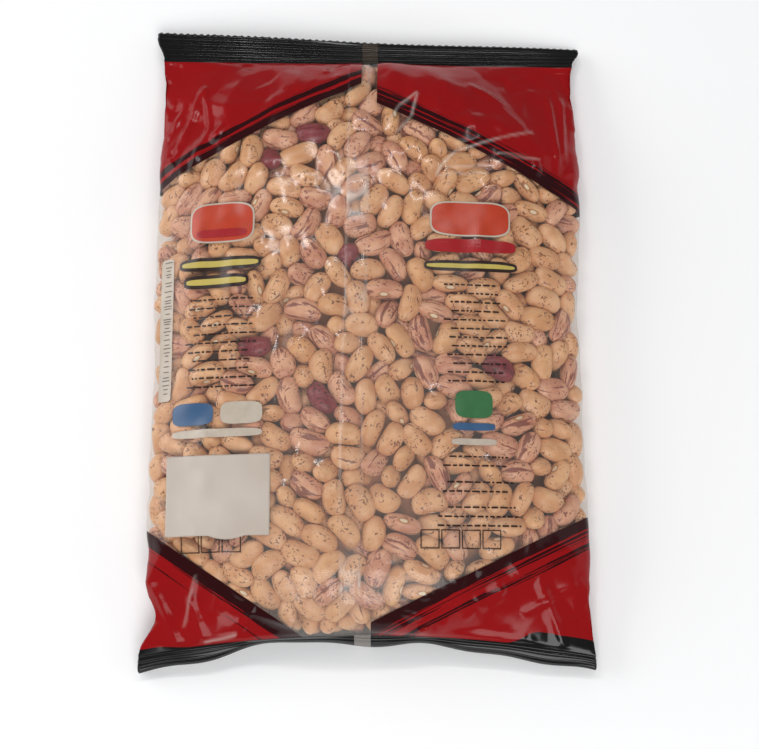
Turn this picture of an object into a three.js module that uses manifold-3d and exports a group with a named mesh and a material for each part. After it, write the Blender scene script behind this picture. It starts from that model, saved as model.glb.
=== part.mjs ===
// A pillow bag of dried speckled beans, lying on its front with the seamed back up.
// The film is a tube with a fin seal folded flat down the back and a crimped, saw-cut seal at
// each end. The beans press the film out in low bumps, and a plain paper label is stuck on it.
// Millimetres. X runs across the bag, Y along it towards the head seal, Z up from the table.
import * as THREE from "three";
import { mergeVertices } from "three/addons/utils/BufferGeometryUtils.js";
import Module from "manifold-3d";

const { lerp, smoothstep, degToRad } = THREE.MathUtils;

// The filled bag
const BODY_WIDTH = 175;
const BODY_HEIGHT = 38;
const SIDE_HEIGHT = 15; // where the round sides reach furthest out
const TUBE_WIDTH = 185; // the film tube laid flat, which is how long each end seal is
const HEAD_LINE = 119.5; // where the beans' room ends and the head seal begins, on the centre line
const HEAD_CURVE = 3.5; // how much further out the head seal lies at its two ends
const HEAD_SKEW = -0.015; // the head was sealed a little out of square
const FOOT_LINE = -124.1;
const FOOT_CURVE = 7.6;

// The four corners, where no beans reach, as shares of the half width and half length
const CORNER_START = 0.93;
const CORNER_SLANT = 0.48; // how much a step across counts against a step along
const CORNER_REACH = 0.5;
const CORNER_EMPTY = 0.72; // how much of the fullness is lost at the very corner

// Where the front film bears on the table, as shares of the half width and half length
const BEARING_ACROSS = 0.602;
const BEARING_ALONG = 0.733;
const CLEAR_OF_TABLE = 0.3; // how high the rest of the front and the seals stay

// The end seals
const HEAD_BAND = 12.2; // width of the head seal on the centre line
const HEAD_TAPER = -1.1; // how much wider it is at its right end
const HEAD_DROOP = 3.6; // how far its cut edge hangs down, on the centre line
const HEAD_TWIST = 2; // how much further it hangs at its right end
const HEAD_WAVE = 0.7; // how far its cut edge waves up and down
const FOOT_REACH = 2.8; // how far the foot seal stands out before it hangs down
const FOOT_BEND = degToRad(112);
const SEAL_BAND = 13; // what the teeth's sizes are measured against
const SEAL_THICKNESS = 0.9;
const CRIMPS = 5; // ridges along each seal
const CRIMP_DEPTH = 0.5;
const TOOTH_PITCH = 3;
const TOOTH_DEPTH = 1.2;
const TOOTH_ROOT = 0.8; // how far inside the band the teeth begin
const TOOTH_VALLEY = 0.2; // how far past the band their valleys lie

// The fin seal
const FIN_WIDTH = 8.2;
const FIN_LIFT = 0.8;
const FIN_RAMP = 0.7;

// The beans behind the film
const BEAN_LENGTH = 14;
const BEAN_WIDTH = 9;
const BEAN_RELIEF = 2.4;
const BEAN_SPACING = 10.4;

// The label
const LABEL_WIDTH = 42;
const LABEL_HEIGHT = 32;
const LABEL_CENTRE = new THREE.Vector2(-59, -70.3);
const LABEL_THICKNESS = 0.4;
const LABEL_GAP = 0.4;

// How finely the skin is divided
const SIDE_COLUMNS = 20; // on the back, from the fin to each side
const FRONT_COLUMNS = 12;
const BODY_ROWS = 52;
const ROW_ARC = degToRad(55.8); // the rows lie as on this arc, closer together at the two ends
const SEAL_ROWS = 2 * CRIMPS;
const LABEL_COLUMNS = 12;
const LABEL_ROWS = 7;

// A repeatable random number from 0 to 1 for a pair of whole numbers.
function scatter(i, j, salt) {
  const wave = Math.sin(i * 127.1 + j * 311.7 + salt * 74.7) * 43758.5453;
  return wave - Math.floor(wave);
}

// A rounded profile: 1 in the middle, 0 at -1 and 1. A higher edge keeps it full for longer.
function crown(t, edge, steepness) {
  return Math.pow(Math.max(0, 1 - Math.pow(Math.abs(t), edge)), steepness);
}

// A smooth bump of height 1 at a place, and how far it reaches.
function hump(t, place, reach) {
  return Math.exp(-Math.pow((t - place) / reach, 2));
}

// Half the bag's width on one side. along runs from -1 at the foot seal to 1 at the head seal.
function halfWidth(along, side) {
  const headFlare = 1.6 * Math.pow(Math.max(0, along), 4);
  const footFlare = 4.4 * Math.pow(Math.max(0, -along), side < 0 ? 10 : 3);
  const pinch = side < 0 ? 3.6 * hump(along, -0.88, 0.06) : 1.1 * hump(along, 0.1, 0.2);
  const shoulder = side < 0 ? 0 : 0.9 * hump(along, 0.6, 0.2);
  return BODY_WIDTH / 2 + headFlare + footFlare + shoulder - pinch;
}

// The inner edge of the head seal, at across from -1 on the left to 1 on the right.
function headLine(across) {
  return HEAD_LINE + HEAD_CURVE * across * across + (HEAD_SKEW * across * TUBE_WIDTH) / 2;
}

// The inner edge of the foot seal. The full bag draws it in at the middle.
function footLine(across) {
  return FOOT_LINE - FOOT_CURVE * across * across;
}

// Height of the line where back and front film meet, which sinks towards the corners.
function seamHeight(across, along) {
  const corner = across * across * Math.pow(Math.abs(along), 4);
  const drop = along > 0 ? 6 : 5;
  return SIDE_HEIGHT - Math.pow(Math.abs(along), 6) - drop * corner;
}

// How far a point lies towards its corner of the bag.
function towardsCorner(across, along) {
  return Math.abs(along) + CORNER_SLANT * Math.abs(across);
}

// How full the bag is towards its four corners, where the film lies flat: 1 is full.
function cornerFill(across, along) {
  const past = towardsCorner(across, along) - CORNER_START;
  return 1 - CORNER_EMPTY * smoothstep(past, 0, CORNER_REACH);
}

// How full the bag is along its length. The beans have settled towards the foot.
function endFill(along) {
  return along < 0 ? crown(along, 7, 0.6) : crown(along, 4.5, 0.62);
}

// Centre line of the fin seal, which wanders a little.
function finLine(y) {
  return -5 + 1.5 * Math.sin(y / 60);
}

// The beans' bumps at a point of the back, from rows of beans set out unevenly.
function beanRelief(x, y) {
  const row = Math.round(y / BEAN_SPACING);
  let highest = 0;
  for (let j = row - 1; j <= row + 1; j++) {
    const shift = j % 2 ? BEAN_SPACING * 0.6 : 0;
    const column = Math.round((x - shift) / (BEAN_SPACING * 1.2));
    for (let i = column - 1; i <= column + 1; i++) {
      const dx = x - shift - (i + 0.4 * (scatter(i, j, 1) - 0.5)) * BEAN_SPACING * 1.2;
      const dy = y - (j + 0.4 * (scatter(i, j, 2) - 0.5)) * BEAN_SPACING;
      const turn = Math.PI * scatter(i, j, 3);
      const a = (dx * Math.cos(turn) + dy * Math.sin(turn)) / (BEAN_LENGTH / 2);
      const b = (dy * Math.cos(turn) - dx * Math.sin(turn)) / (BEAN_WIDTH / 2);
      const size = 0.7 + 0.3 * scatter(i, j, 4);
      highest = Math.max(highest, size * Math.sqrt(Math.max(0, 1 - a * a - b * b)));
    }
  }
  return BEAN_RELIEF * (highest - 0.6);
}

// 1 where the film hugs beans, 0 in the empty corners, by the seals and under the label.
function hug(x, y, across, along) {
  const corner = 1 - smoothstep(towardsCorner(across, along), 0.9, 1.02);
  const end = 1 - smoothstep(Math.abs(along), 0.88, 0.97);
  const side = 1 - smoothstep(Math.abs(across), 0.93, 1);
  const labelX = Math.abs(x - LABEL_CENTRE.x) - LABEL_WIDTH / 2;
  const labelY = Math.abs(y - LABEL_CENTRE.y) - LABEL_HEIGHT / 2;
  const label = smoothstep(Math.max(labelX, labelY), 3.5, 8);
  return corner * end * side * label;
}

// A point of the back film without its bumps.
function smoothBack(across, along) {
  const x = across * halfWidth(along, across);
  const y = lerp(footLine(across), headLine(across), (along + 1) / 2);
  const seam = seamHeight(across, along);
  const fill = crown(across, 2.3, 0.52) * endFill(along) * cornerFill(across, along);
  const z = seam + SEAL_THICKNESS / 2 + (BODY_HEIGHT - SIDE_HEIGHT) * fill;
  return new THREE.Vector3(x, y, z);
}

// A point of the back film, with the beans' bumps and the folded fin. The places across are
// shifted near the middle, so that those at the fin's edges follow its line.
function back(across, along) {
  const point = smoothBack(across, along);
  point.x += finLine(point.y) * hump(across, 0, 0.2);
  const onFin = Math.abs(across) <= FIN_EDGE ? Math.min(1, 4 - 4 * Math.abs(along)) : 0;
  const press = hug(point.x, point.y, across, along) * (1 - 0.4 * onFin);
  point.z += press * beanRelief(point.x, point.y) + FIN_LIFT * onFin;
  return point;
}

// How high the front film's flat field is off the table. It bears in its middle and at its four
// corners, and bows up a little between them.
function bow(across, along) {
  const u = Math.pow(across / BEARING_ACROSS, 2);
  const v = Math.pow(along / BEARING_ALONG, 2);
  const between = Math.abs(u * (1 - v)) + Math.abs(v * (1 - u));
  return CLEAR_OF_TABLE * Math.min(1, Math.max(0, between - 0.1));
}

// A point of the front film, which the table presses flat.
function front(across, along) {
  const point = smoothBack(across, along);
  const seam = seamHeight(across, along) - SEAL_THICKNESS / 2;
  const sag = Math.min(1, 1.12 * crown(across, 4, 0.6) * crown(along, 10, 0.6));
  return point.setZ(Math.max(seam * (1 - sag), bow(across, along)));
}

// The middle of the head seal. out runs from 0 at its inner edge to 1 at the cut.
function headMiddle(across, out) {
  const spread = lerp(halfWidth(1, across), TUBE_WIDTH / 2, smoothstep(out, 0, 0.8));
  const droop = HEAD_DROOP + HEAD_TWIST * across;
  const reach = Math.sqrt(Math.pow(HEAD_BAND + HEAD_TAPER * across, 2) - droop * droop);
  const wave = HEAD_WAVE * Math.sin(across * 5 + 1) * out;
  const z = seamHeight(across, 1) - droop * Math.pow(Math.max(0, out), 1.3) - wave;
  return new THREE.Vector3(across * spread, headLine(across) + out * reach, z);
}

// The middle of the foot seal, which bends down to the table in waves and tucks under.
function footMiddle(across, out) {
  const spread = lerp(halfWidth(-1, across), TUBE_WIDTH / 2, smoothstep(out, 0, 0.6));
  const wave = 0.8 * Math.cos(across * 9 + 0.6) + 0.6 * Math.cos(across * 17 - 0.9);
  const tucked = 2.2 * hump(across, -0.34, 0.22);
  const reach = FOOT_REACH * (1 + 1.4 * across * across) + wave - tucked;
  const bend = FOOT_BEND * out;
  const y = footLine(across) - reach * Math.sin(bend);
  const foot = 1.4 + 0.8 * Math.sin(across * 7);
  const z = lerp(seamHeight(across, -1), foot, (1 - Math.cos(bend)) / (1 - Math.cos(FOOT_BEND)));
  return new THREE.Vector3(across * spread, y, z);
}

// Each seal's middle, and the sense in which its upper face turns.
const headSeal = { middle: headMiddle, turn: 1 };
const footSeal = { middle: footMiddle, turn: -1 };

// Outward direction of a seal's upper face.
function sealNormal({ middle, turn }, across, out) {
  const step = 0.02;
  const ahead = middle(across, out + step).sub(middle(across, out - step));
  const sideways = middle(across + step, out).sub(middle(across - step, out));
  return new THREE.Vector3().crossVectors(sideways, ahead).normalize().multiplyScalar(turn);
}

// A point on a crimped seal's face. face is 1 for the back and -1 for the front.
function crimped(seal, across, out, face) {
  const cut = out > 1 - 0.5 / SEAL_ROWS;
  const ridge = cut ? 0 : Math.cos(2 * Math.PI * out * CRIMPS) * CRIMP_DEPTH * 0.5;
  const lift = face * SEAL_THICKNESS * 0.5 + ridge;
  return onTable(seal.middle(across, out).addScaledVector(sealNormal(seal, across, out), lift));
}

// A point kept clear of the table.
function onTable(point) {
  return point.setZ(Math.max(point.z, CLEAR_OF_TABLE));
}

// The fin's edge, and the foot of its ramp, as places across the bag.
const FIN_EDGE = FIN_WIDTH / BODY_WIDTH;
const FIN_FOOT = FIN_EDGE + (2 * FIN_RAMP) / BODY_WIDTH;

// Places from the middle to a side, closer together where the side turns under.
function towardsSide(count, start) {
  return Array.from({ length: count }, (_, i) => {
    return start + (1 - start) * Math.pow(Math.sin(((i / (count - 1)) * Math.PI) / 2), 1.15);
  });
}

// Places across the back, from left to right, with the fin's edges among them.
function backColumns() {
  const side = towardsSide(SIDE_COLUMNS, FIN_FOOT);
  return [...side.map((t) => -t).reverse(), -FIN_EDGE, 0, FIN_EDGE, ...side];
}

// Places under the front, from right to left, without the two sides.
function frontColumns() {
  const side = towardsSide(FRONT_COLUMNS / 2, 0.09).slice(0, -1);
  return [...side.toReversed(), ...side.map((t) => -t)];
}

// One closed loop round the bag: over the back from left to right, and home under the front.
function loop(overBack, underFront) {
  return [...backColumns().map(overBack), ...frontColumns().map(underFront)];
}

// Triangles that close one loop. It runs out over its first points and back under the rest, and
// the two chains are joined like a zip, so a thin and wavy end stays inside its own outline.
function lid(first, size, over) {
  const out = Array.from({ length: over }, (_, i) => first + i);
  const home = Array.from({ length: size - over }, (_, i) => first + size - 1 - i);
  const back = [out[0], ...home, out[over - 1]];
  const triangles = [];
  let [i, j] = [0, 0];
  while (i < out.length - 1 || j < back.length - 1) {
    const ahead = (i + 1) / (out.length - 1) < (j + 1) / (back.length - 1);
    const third = ahead ? out[i + 1] : back[j + 1];
    if (new Set([out[i], third, back[j]]).size === 3) triangles.push([out[i], third, back[j]]);
    if (ahead) i += 1;
    else j += 1;
  }
  return triangles;
}

// A closed skin through loops of the same number of points, with a lid on the first and last.
function skin(loops, over) {
  const size = loops[0].length;
  const index = [];
  for (let j = 0; j + 1 < loops.length; j++) {
    for (let i = 0; i < size; i++) {
      const [a, b] = [j * size + i, j * size + ((i + 1) % size)];
      const [c, d] = [a + size, b + size];
      index.push(a, b, c, b, d, c);
    }
  }
  for (const [a, b, c] of lid(0, size, over)) index.push(a, c, b);
  for (const [a, b, c] of lid((loops.length - 1) * size, size, over)) index.push(a, b, c);
  const geometry = new THREE.BufferGeometry().setFromPoints(loops.flat());
  geometry.setIndex(index);
  return geometry;
}

// The whole bag but for the teeth: foot seal, body and head seal in one skin.
function bagSkin() {
  const loops = [];
  for (let j = SEAL_ROWS; j > 0; j--) {
    const out = j / SEAL_ROWS;
    loops.push(loop((s) => crimped(footSeal, s, out, 1), (s) => crimped(footSeal, s, out, -1)));
  }
  for (let j = 0; j <= BODY_ROWS; j++) {
    const along = Math.sin(lerp(-ROW_ARC, ROW_ARC, j / BODY_ROWS)) / Math.sin(ROW_ARC);
    loops.push(loop((s) => back(s, along), (s) => front(s, along)));
  }
  for (let j = 1; j <= SEAL_ROWS; j++) {
    const out = j / SEAL_ROWS;
    loops.push(loop((s) => crimped(headSeal, s, out, 1), (s) => crimped(headSeal, s, out, -1)));
  }
  return skin(loops, backColumns().length);
}

// The saw-cut edge of one seal: a thin wedge whose outer side zigzags.
function teeth(seal) {
  const stations = 2 * Math.round(TUBE_WIDTH / TOOTH_PITCH);
  const inner = 1 - TOOTH_ROOT / SEAL_BAND;
  const valley = 1 + TOOTH_VALLEY / SEAL_BAND;
  const tip = valley + TOOTH_DEPTH / SEAL_BAND;
  const loops = [];
  for (let i = 1; i < stations; i++) {
    const across = seal.turn * lerp(1, -1, i / stations);
    const edge = seal.middle(across, i % 2 ? tip : valley);
    const half = sealNormal(seal, across, 1).multiplyScalar(SEAL_THICKNESS * 0.3);
    const section = [seal.middle(across, inner), edge.clone().add(half), edge.clone().sub(half)];
    loops.push(section.map(onTable));
  }
  return skin(loops, 3);
}

// The point of the smooth back film at a place on the bag.
function smoothBackAt(x, y) {
  const foot = footLine(x / TUBE_WIDTH * 2);
  const along = (2 * (y - foot)) / (headLine(x / TUBE_WIDTH * 2) - foot) - 1;
  return smoothBack(x / halfWidth(along, x), along).setX(x).setY(y);
}

// The label: a thin sheet that follows the film under it, a little clear of it.
function label() {
  const at = (u, v, lift) => {
    const x = LABEL_CENTRE.x + (u - 0.5) * LABEL_WIDTH;
    const y = LABEL_CENTRE.y + (v - 0.5) * LABEL_HEIGHT;
    const right = smoothBackAt(x + 0.5, y).sub(smoothBackAt(x - 0.5, y));
    const ahead = smoothBackAt(x, y + 0.5).sub(smoothBackAt(x, y - 0.5));
    const normal = new THREE.Vector3().crossVectors(right, ahead).normalize();
    return smoothBackAt(x, y).addScaledVector(normal, lift);
  };
  const loops = [];
  for (let j = 0; j <= LABEL_ROWS; j++) {
    const row = (lift) => {
      const u = Array.from({ length: LABEL_COLUMNS + 1 }, (_, i) => i / LABEL_COLUMNS);
      return u.map((t) => at(t, j / LABEL_ROWS, lift));
    };
    loops.push([...row(LABEL_GAP + LABEL_THICKNESS), ...row(LABEL_GAP).reverse()]);
  }
  return skin(loops, LABEL_COLUMNS + 1);
}

const wasm = await Module();
wasm.setup();

// A closed geometry as a solid that can be joined to others.
function solidOf(geometry) {
  const merged = mergeVertices(geometry, 1e-4);
  const mesh = new wasm.Mesh({
    numProp: 3,
    vertProperties: merged.attributes.position.array,
    triVerts: new Uint32Array(merged.index.array),
  });
  return new wasm.Manifold(mesh);
}

// A solid as a geometry with flat-shaded faces.
function geometryOf(solid) {
  const mesh = solid.getMesh();
  const geometry = new THREE.BufferGeometry();
  geometry.setAttribute("position", new THREE.BufferAttribute(mesh.vertProperties, 3));
  geometry.setIndex(new THREE.BufferAttribute(mesh.triVerts, 1));
  geometry.computeVertexNormals();
  return geometry;
}

function named(name, geometry, colour, roughness) {
  const material = new THREE.MeshStandardMaterial({ color: colour, roughness, metalness: 0 });
  const mesh = new THREE.Mesh(geometry, material);
  mesh.name = name;
  return mesh;
}

const bag = solidOf(bagSkin()).add(solidOf(teeth(headSeal))).add(solidOf(teeth(footSeal)));

const group = new THREE.Group();
group.add(named("bean_bag", geometryOf(bag), 0xc79a7c, 0.35));
group.add(named("paper_label", label(), 0xd6cdc4, 0.6));

export default group;
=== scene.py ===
"""A clear pillow bag of dried speckled beans, lying on its front with its seamed back up.

Lengths are in millimetres until a mesh is made from them, and the mesh is in metres. X runs
across the bag, Y along it towards the head seal, and Z up from the table.
"""

import logging
import math
from collections.abc import Callable, Iterable, Sequence
from dataclasses import dataclass, field
from enum import Enum
from functools import partial, reduce

import bpy
import numpy as np
from mathutils import Euler, Matrix, Vector
from mathutils.bvhtree import BVHTree
from mathutils.geometry import delaunay_2d_cdt


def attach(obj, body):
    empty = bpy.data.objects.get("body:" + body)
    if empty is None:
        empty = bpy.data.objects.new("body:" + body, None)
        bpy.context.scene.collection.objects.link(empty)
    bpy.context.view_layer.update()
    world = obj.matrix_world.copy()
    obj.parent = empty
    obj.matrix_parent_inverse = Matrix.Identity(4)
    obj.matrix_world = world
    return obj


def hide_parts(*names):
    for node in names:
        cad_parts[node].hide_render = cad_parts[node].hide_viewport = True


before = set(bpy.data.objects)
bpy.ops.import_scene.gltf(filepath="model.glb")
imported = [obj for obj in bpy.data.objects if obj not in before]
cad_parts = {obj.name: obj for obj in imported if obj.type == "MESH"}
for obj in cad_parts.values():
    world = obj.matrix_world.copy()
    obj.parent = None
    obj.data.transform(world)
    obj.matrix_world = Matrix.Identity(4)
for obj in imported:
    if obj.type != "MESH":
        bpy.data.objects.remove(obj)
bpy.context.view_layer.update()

LOG = logging.getLogger("bean_bag")
MM = 0.001
Array = np.ndarray


def linear(code: str, alpha: float = 1.0) -> tuple[float, float, float, float]:
    """Turns an sRGB hex colour to linear light.

    Args:
        code: Six hex digits, such as "a8161c".
        alpha: The fourth value.

    Returns:
        Red, green, blue and alpha.
    """
    shares = [int(code[i:i + 2], 16) / 255 for i in (0, 2, 4)]
    light = [c / 12.92 if c <= 0.04045 else ((c + 0.055) / 1.055) ** 2.4 for c in shares]
    return (*light, alpha)


def add_node(
    tree: bpy.types.NodeTree, kind: str, inputs: dict | Sequence = (), out: str = "", **settings: object
) -> bpy.types.NodeSocket | None:
    """Adds one node to a tree, with its settings and links.

    Args:
        tree: The tree that gets it.
        kind: Its type name, where "ShaderNode" may be left off.
        inputs: Values, or the output sockets that feed them, by name or in the inputs' order.
        out: The name of the output that is asked for, if it isn't the first in use.
        settings: The node's own properties.

    Returns:
        The output that is asked for, if the node has any.
    """
    made = tree.nodes.new(kind if "Node" in kind else f"ShaderNode{kind}")
    for name, value in settings.items():
        setattr(made, name, value)
    for key, value in inputs.items() if isinstance(inputs, dict) else enumerate(inputs):
        if isinstance(value, bpy.types.NodeSocket):
            tree.links.new(value, made.inputs[key])
        else:
            made.inputs[key].default_value = value
    if out:
        return made.outputs[out]
    return next((socket for socket in made.outputs if socket.enabled), None)


def blank_material(name: str) -> tuple[bpy.types.Material, Callable]:
    """A new material without nodes.

    Args:
        name: The finish's name.

    Returns:
        The material, and add_node for its tree.
    """
    material = bpy.data.materials.new(name)
    material.use_nodes = True
    material.node_tree.nodes.clear()
    return material, partial(add_node, material.node_tree)


def smoothstep(t: Array | float, low: float, high: float) -> Array:
    """An even ramp from 0 at low to 1 at high."""
    share = np.clip((np.asarray(t, float) - low) / (high - low), 0, 1)
    return share * share * (3 - 2 * share)


def hump(t: Array, place: float, reach: float) -> Array:
    """A smooth bump of height 1 at a place, and how far it reaches."""
    return np.exp(-(((t - place) / reach) ** 2))


def crown(t: Array, edge: float, steepness: float) -> Array:
    """A rounded profile: 1 in the middle, 0 at -1 and 1."""
    return np.maximum(0, 1 - np.abs(t) ** edge) ** steepness


def mesh_of(name: str, points: Array, faces: Sequence, smooth: bool = True) -> bpy.types.Mesh:
    """Makes a mesh from millimetre points.

    Args:
        name: The mesh's name.
        points: One row for each point.
        faces: Point numbers of each face, anticlockwise from outside.
        smooth: Whether the faces are shaded smooth.

    Returns:
        The mesh, in metres.
    """
    mesh = bpy.data.meshes.new(name)
    mesh.from_pydata((np.asarray(points) * MM).tolist(), [], [list(face) for face in faces])
    mesh.polygons.foreach_set("use_smooth", [smooth] * len(mesh.polygons))
    mesh.update()
    return mesh


def piece_of(name: str, mesh: bpy.types.Mesh, material: bpy.types.Material) -> bpy.types.Object:
    """Puts a mesh in the scene as a piece at the origin, with one material.

    Args:
        name: The piece's name.
        mesh: Its mesh.
        material: Its material, unless the mesh has one already.

    Returns:
        The piece.
    """
    if not mesh.materials:
        mesh.materials.append(material)
    piece = bpy.data.objects.new(name, mesh)
    bpy.context.scene.collection.objects.link(piece)
    return piece


def tube_faces(index: Array) -> Array:
    """Faces between closed rings of point numbers, one row for each ring."""
    around = np.roll(index, -1, 1)
    return np.stack([index[:-1], around[:-1], around[1:], index[1:]], -1).reshape(-1, 4)


def sheet_faces(rows: int, columns: int) -> Array:
    """Faces of a closed sheet, whose under side's points come first and its upper side's next.

    Args:
        rows: How many rows of points a side has.
        columns: How many points a row has.

    Returns:
        Four point numbers for each face.
    """
    count = rows * columns
    index = np.arange(count).reshape(rows, columns)
    quads = np.stack([index[:-1, :-1], index[:-1, 1:], index[1:, 1:], index[1:, :-1]], -1).reshape(-1, 4)
    rim = np.concatenate([index[0, :-1], index[:-1, -1], index[-1, :0:-1], index[:0:-1, 0]])
    ahead = np.roll(rim, -1)
    walls = np.stack([rim, ahead, ahead + count, rim + count], -1)
    return np.concatenate([quads + count, quads[:, ::-1], walls])


def neighbour_mean(sheet: Array, ring: bool = False) -> Array:
    """The mean of each point's four neighbours, where a ring's rows close on themselves.

    Args:
        sheet: A value for each point, in rows.
        ring: Whether each row closes on itself.

    Returns:
        The means.
    """
    tall = np.pad(sheet, ((1, 1), (0, 0)), mode="edge")
    wide = np.pad(sheet, ((0, 0), (1, 1)), mode="wrap" if ring else "edge")
    return (tall[2:] + tall[:-2] + wide[:, :-2] + wide[:, 2:]) / 4


class Slot(Enum):
    """The record's material slots."""

    CLEAR_FILM = "clear_film"
    PRINTED_FILM = "printed_film"
    BEAN_COAT = "bean_coat"
    LABEL_PAPER = "label_paper"


def fit(piece: bpy.types.Object, slot: Slot, *nodes: str) -> None:
    """Rides a piece on the bag and hides the solids that it stands for.

    Args:
        piece: The finished piece.
        slot: The record's slot for the piece's finish. It is not used.
        nodes: The solids that it replaces.
    """
    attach(piece, "root")
    if nodes:
        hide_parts(*nodes)
    LOG.info("%s: %d faces", piece.name, len(piece.data.polygons))


@dataclass(frozen=True)
class BagForm:
    """The filled bag's smooth outer form, without bumps and creases.

    across runs from -1 at the left side to 1 at the right, and along from -1 at the foot seal
    to 1 at the head seal.
    """

    body_width: float = 175.0
    body_height: float = 38.0
    side_height: float = 15.0
    tube_width: float = 185.0
    head_line_at: float = 119.5
    head_curve: float = 3.5
    head_skew: float = -0.015
    head_band: float = 12.2
    head_taper: float = -1.1
    head_droop: float = 3.6
    head_twist: float = 2.0
    head_wave: float = 0.7
    foot_line_at: float = -124.1
    foot_curve: float = 7.6
    foot_reach: float = 2.8
    foot_bend: float = math.radians(112)
    seal_band: float = 13.0
    cad_seal: float = 0.9

    def half_width(self, along: Array, side: Array) -> Array:
        """Half the bag's width on one side, with its flares and its pinch at the foot."""
        left = np.asarray(side) < 0
        head = 1.6 * np.maximum(0, along) ** 4
        foot = 4.4 * np.maximum(0, -along) ** np.where(left, 10, 3)
        pinch = np.where(left, 3.6 * hump(along, -0.88, 0.06), 1.1 * hump(along, 0.1, 0.2))
        shoulder = np.where(left, 0, 0.9 * hump(along, 0.6, 0.2))
        return self.body_width / 2 + head + foot + shoulder - pinch

    def head_line(self, across: Array) -> Array:
        """The inner edge of the head seal."""
        skew = self.head_skew * across * self.tube_width / 2
        return self.head_line_at + self.head_curve * across**2 + skew

    def foot_line(self, across: Array) -> Array:
        """The inner edge of the foot seal."""
        return self.foot_line_at - self.foot_curve * across**2

    def seam_height(self, across: Array, along: Array) -> Array:
        """Height of the line where back and front film meet, which sinks at the corners."""
        corner = across**2 * np.abs(along) ** 4
        return self.side_height - np.abs(along) ** 6 - np.where(along > 0, 6, 5) * corner

    def fullness(self, across: Array, along: Array) -> Array:
        """How far the beans push the back film out, from 0 to 1."""
        past = np.abs(along) + 0.48 * np.abs(across) - 0.93
        corner = 1 - 0.72 * smoothstep(past, 0, 0.5)
        end = np.where(along < 0, crown(along, 7, 0.6), crown(along, 4.5, 0.62))
        return crown(across, 2.3, 0.52) * end * corner

    def place(self, across: Array, along: Array) -> tuple[Array, Array]:
        """X and Y of a point of the body."""
        share = (along + 1) / 2
        y = self.foot_line(across) * (1 - share) + self.head_line(across) * share
        return across * self.half_width(along, across), y

    def back(self, across: Array, along: Array) -> Array:
        """Points of the back film, which faces up."""
        x, y = self.place(across, along)
        lift = (self.body_height - self.side_height) * self.fullness(across, along)
        return np.stack([x, y, self.seam_height(across, along) + self.cad_seal / 2 + lift], -1)

    def front(self, across: Array, along: Array) -> Array:
        """Points of the front film, which the table presses flat."""
        x, y = self.place(across, along)
        sag = np.minimum(1, 1.12 * crown(across, 4, 0.6) * crown(along, 10, 0.6))
        return np.stack([x, y, (self.seam_height(across, along) - self.cad_seal / 2) * (1 - sag)], -1)

    def locate(self, x: Array, y: Array) -> tuple[Array, Array]:
        """across and along of a place seen from above."""
        rough = np.clip(2 * x / self.tube_width, -1, 1)
        foot = self.foot_line(rough)
        along = 2 * (y - foot) / (self.head_line(rough) - foot) - 1
        return x / self.half_width(np.clip(along, -1, 1), x), along

    def head_seal(self, across: Array, out: Array) -> Array:
        """The middle of the head seal, from 0 at its inner edge to 1 at the cut.

        Args:
            across: The place across, from -1 to 1.
            out: The place from the inner edge to the cut.

        Returns:
            The points.
        """
        one = np.ones_like(across)
        share = smoothstep(out, 0, 0.8)
        spread = self.half_width(one, across) * (1 - share) + self.tube_width / 2 * share
        droop = self.head_droop + self.head_twist * across
        reach = np.sqrt((self.head_band + self.head_taper * across) ** 2 - droop**2)
        wave = self.head_wave * np.sin(across * 5 + 1) * out
        z = self.seam_height(across, one) - droop * np.maximum(0, out) ** 1.3 - wave
        return np.stack([across * spread, self.head_line(across) + out * reach, z], -1)

    def foot_seal(self, across: Array, out: Array) -> Array:
        """The middle of the foot seal, which bends down to the table and tucks under.

        Args:
            across: The place across, from -1 to 1.
            out: The place from the inner edge to the cut.

        Returns:
            The points.
        """
        one = np.ones_like(across)
        share = smoothstep(out, 0, 0.6)
        spread = self.half_width(-one, across) * (1 - share) + self.tube_width / 2 * share
        wave = 0.8 * np.cos(across * 9 + 0.6) + 0.6 * np.cos(across * 17 - 0.9)
        tucked = 2.2 * hump(across, -0.34, 0.22)
        reach = self.foot_reach * (1 + 1.4 * across**2) + wave - tucked
        bend = self.foot_bend * out
        fall = (1 - np.cos(bend)) / (1 - math.cos(self.foot_bend))
        start = self.seam_height(across, -one)
        z = start + (1.4 + 0.8 * np.sin(across * 7) - start) * fall
        return np.stack([across * spread, self.foot_line(across) - reach * np.sin(bend), z], -1)


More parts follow.
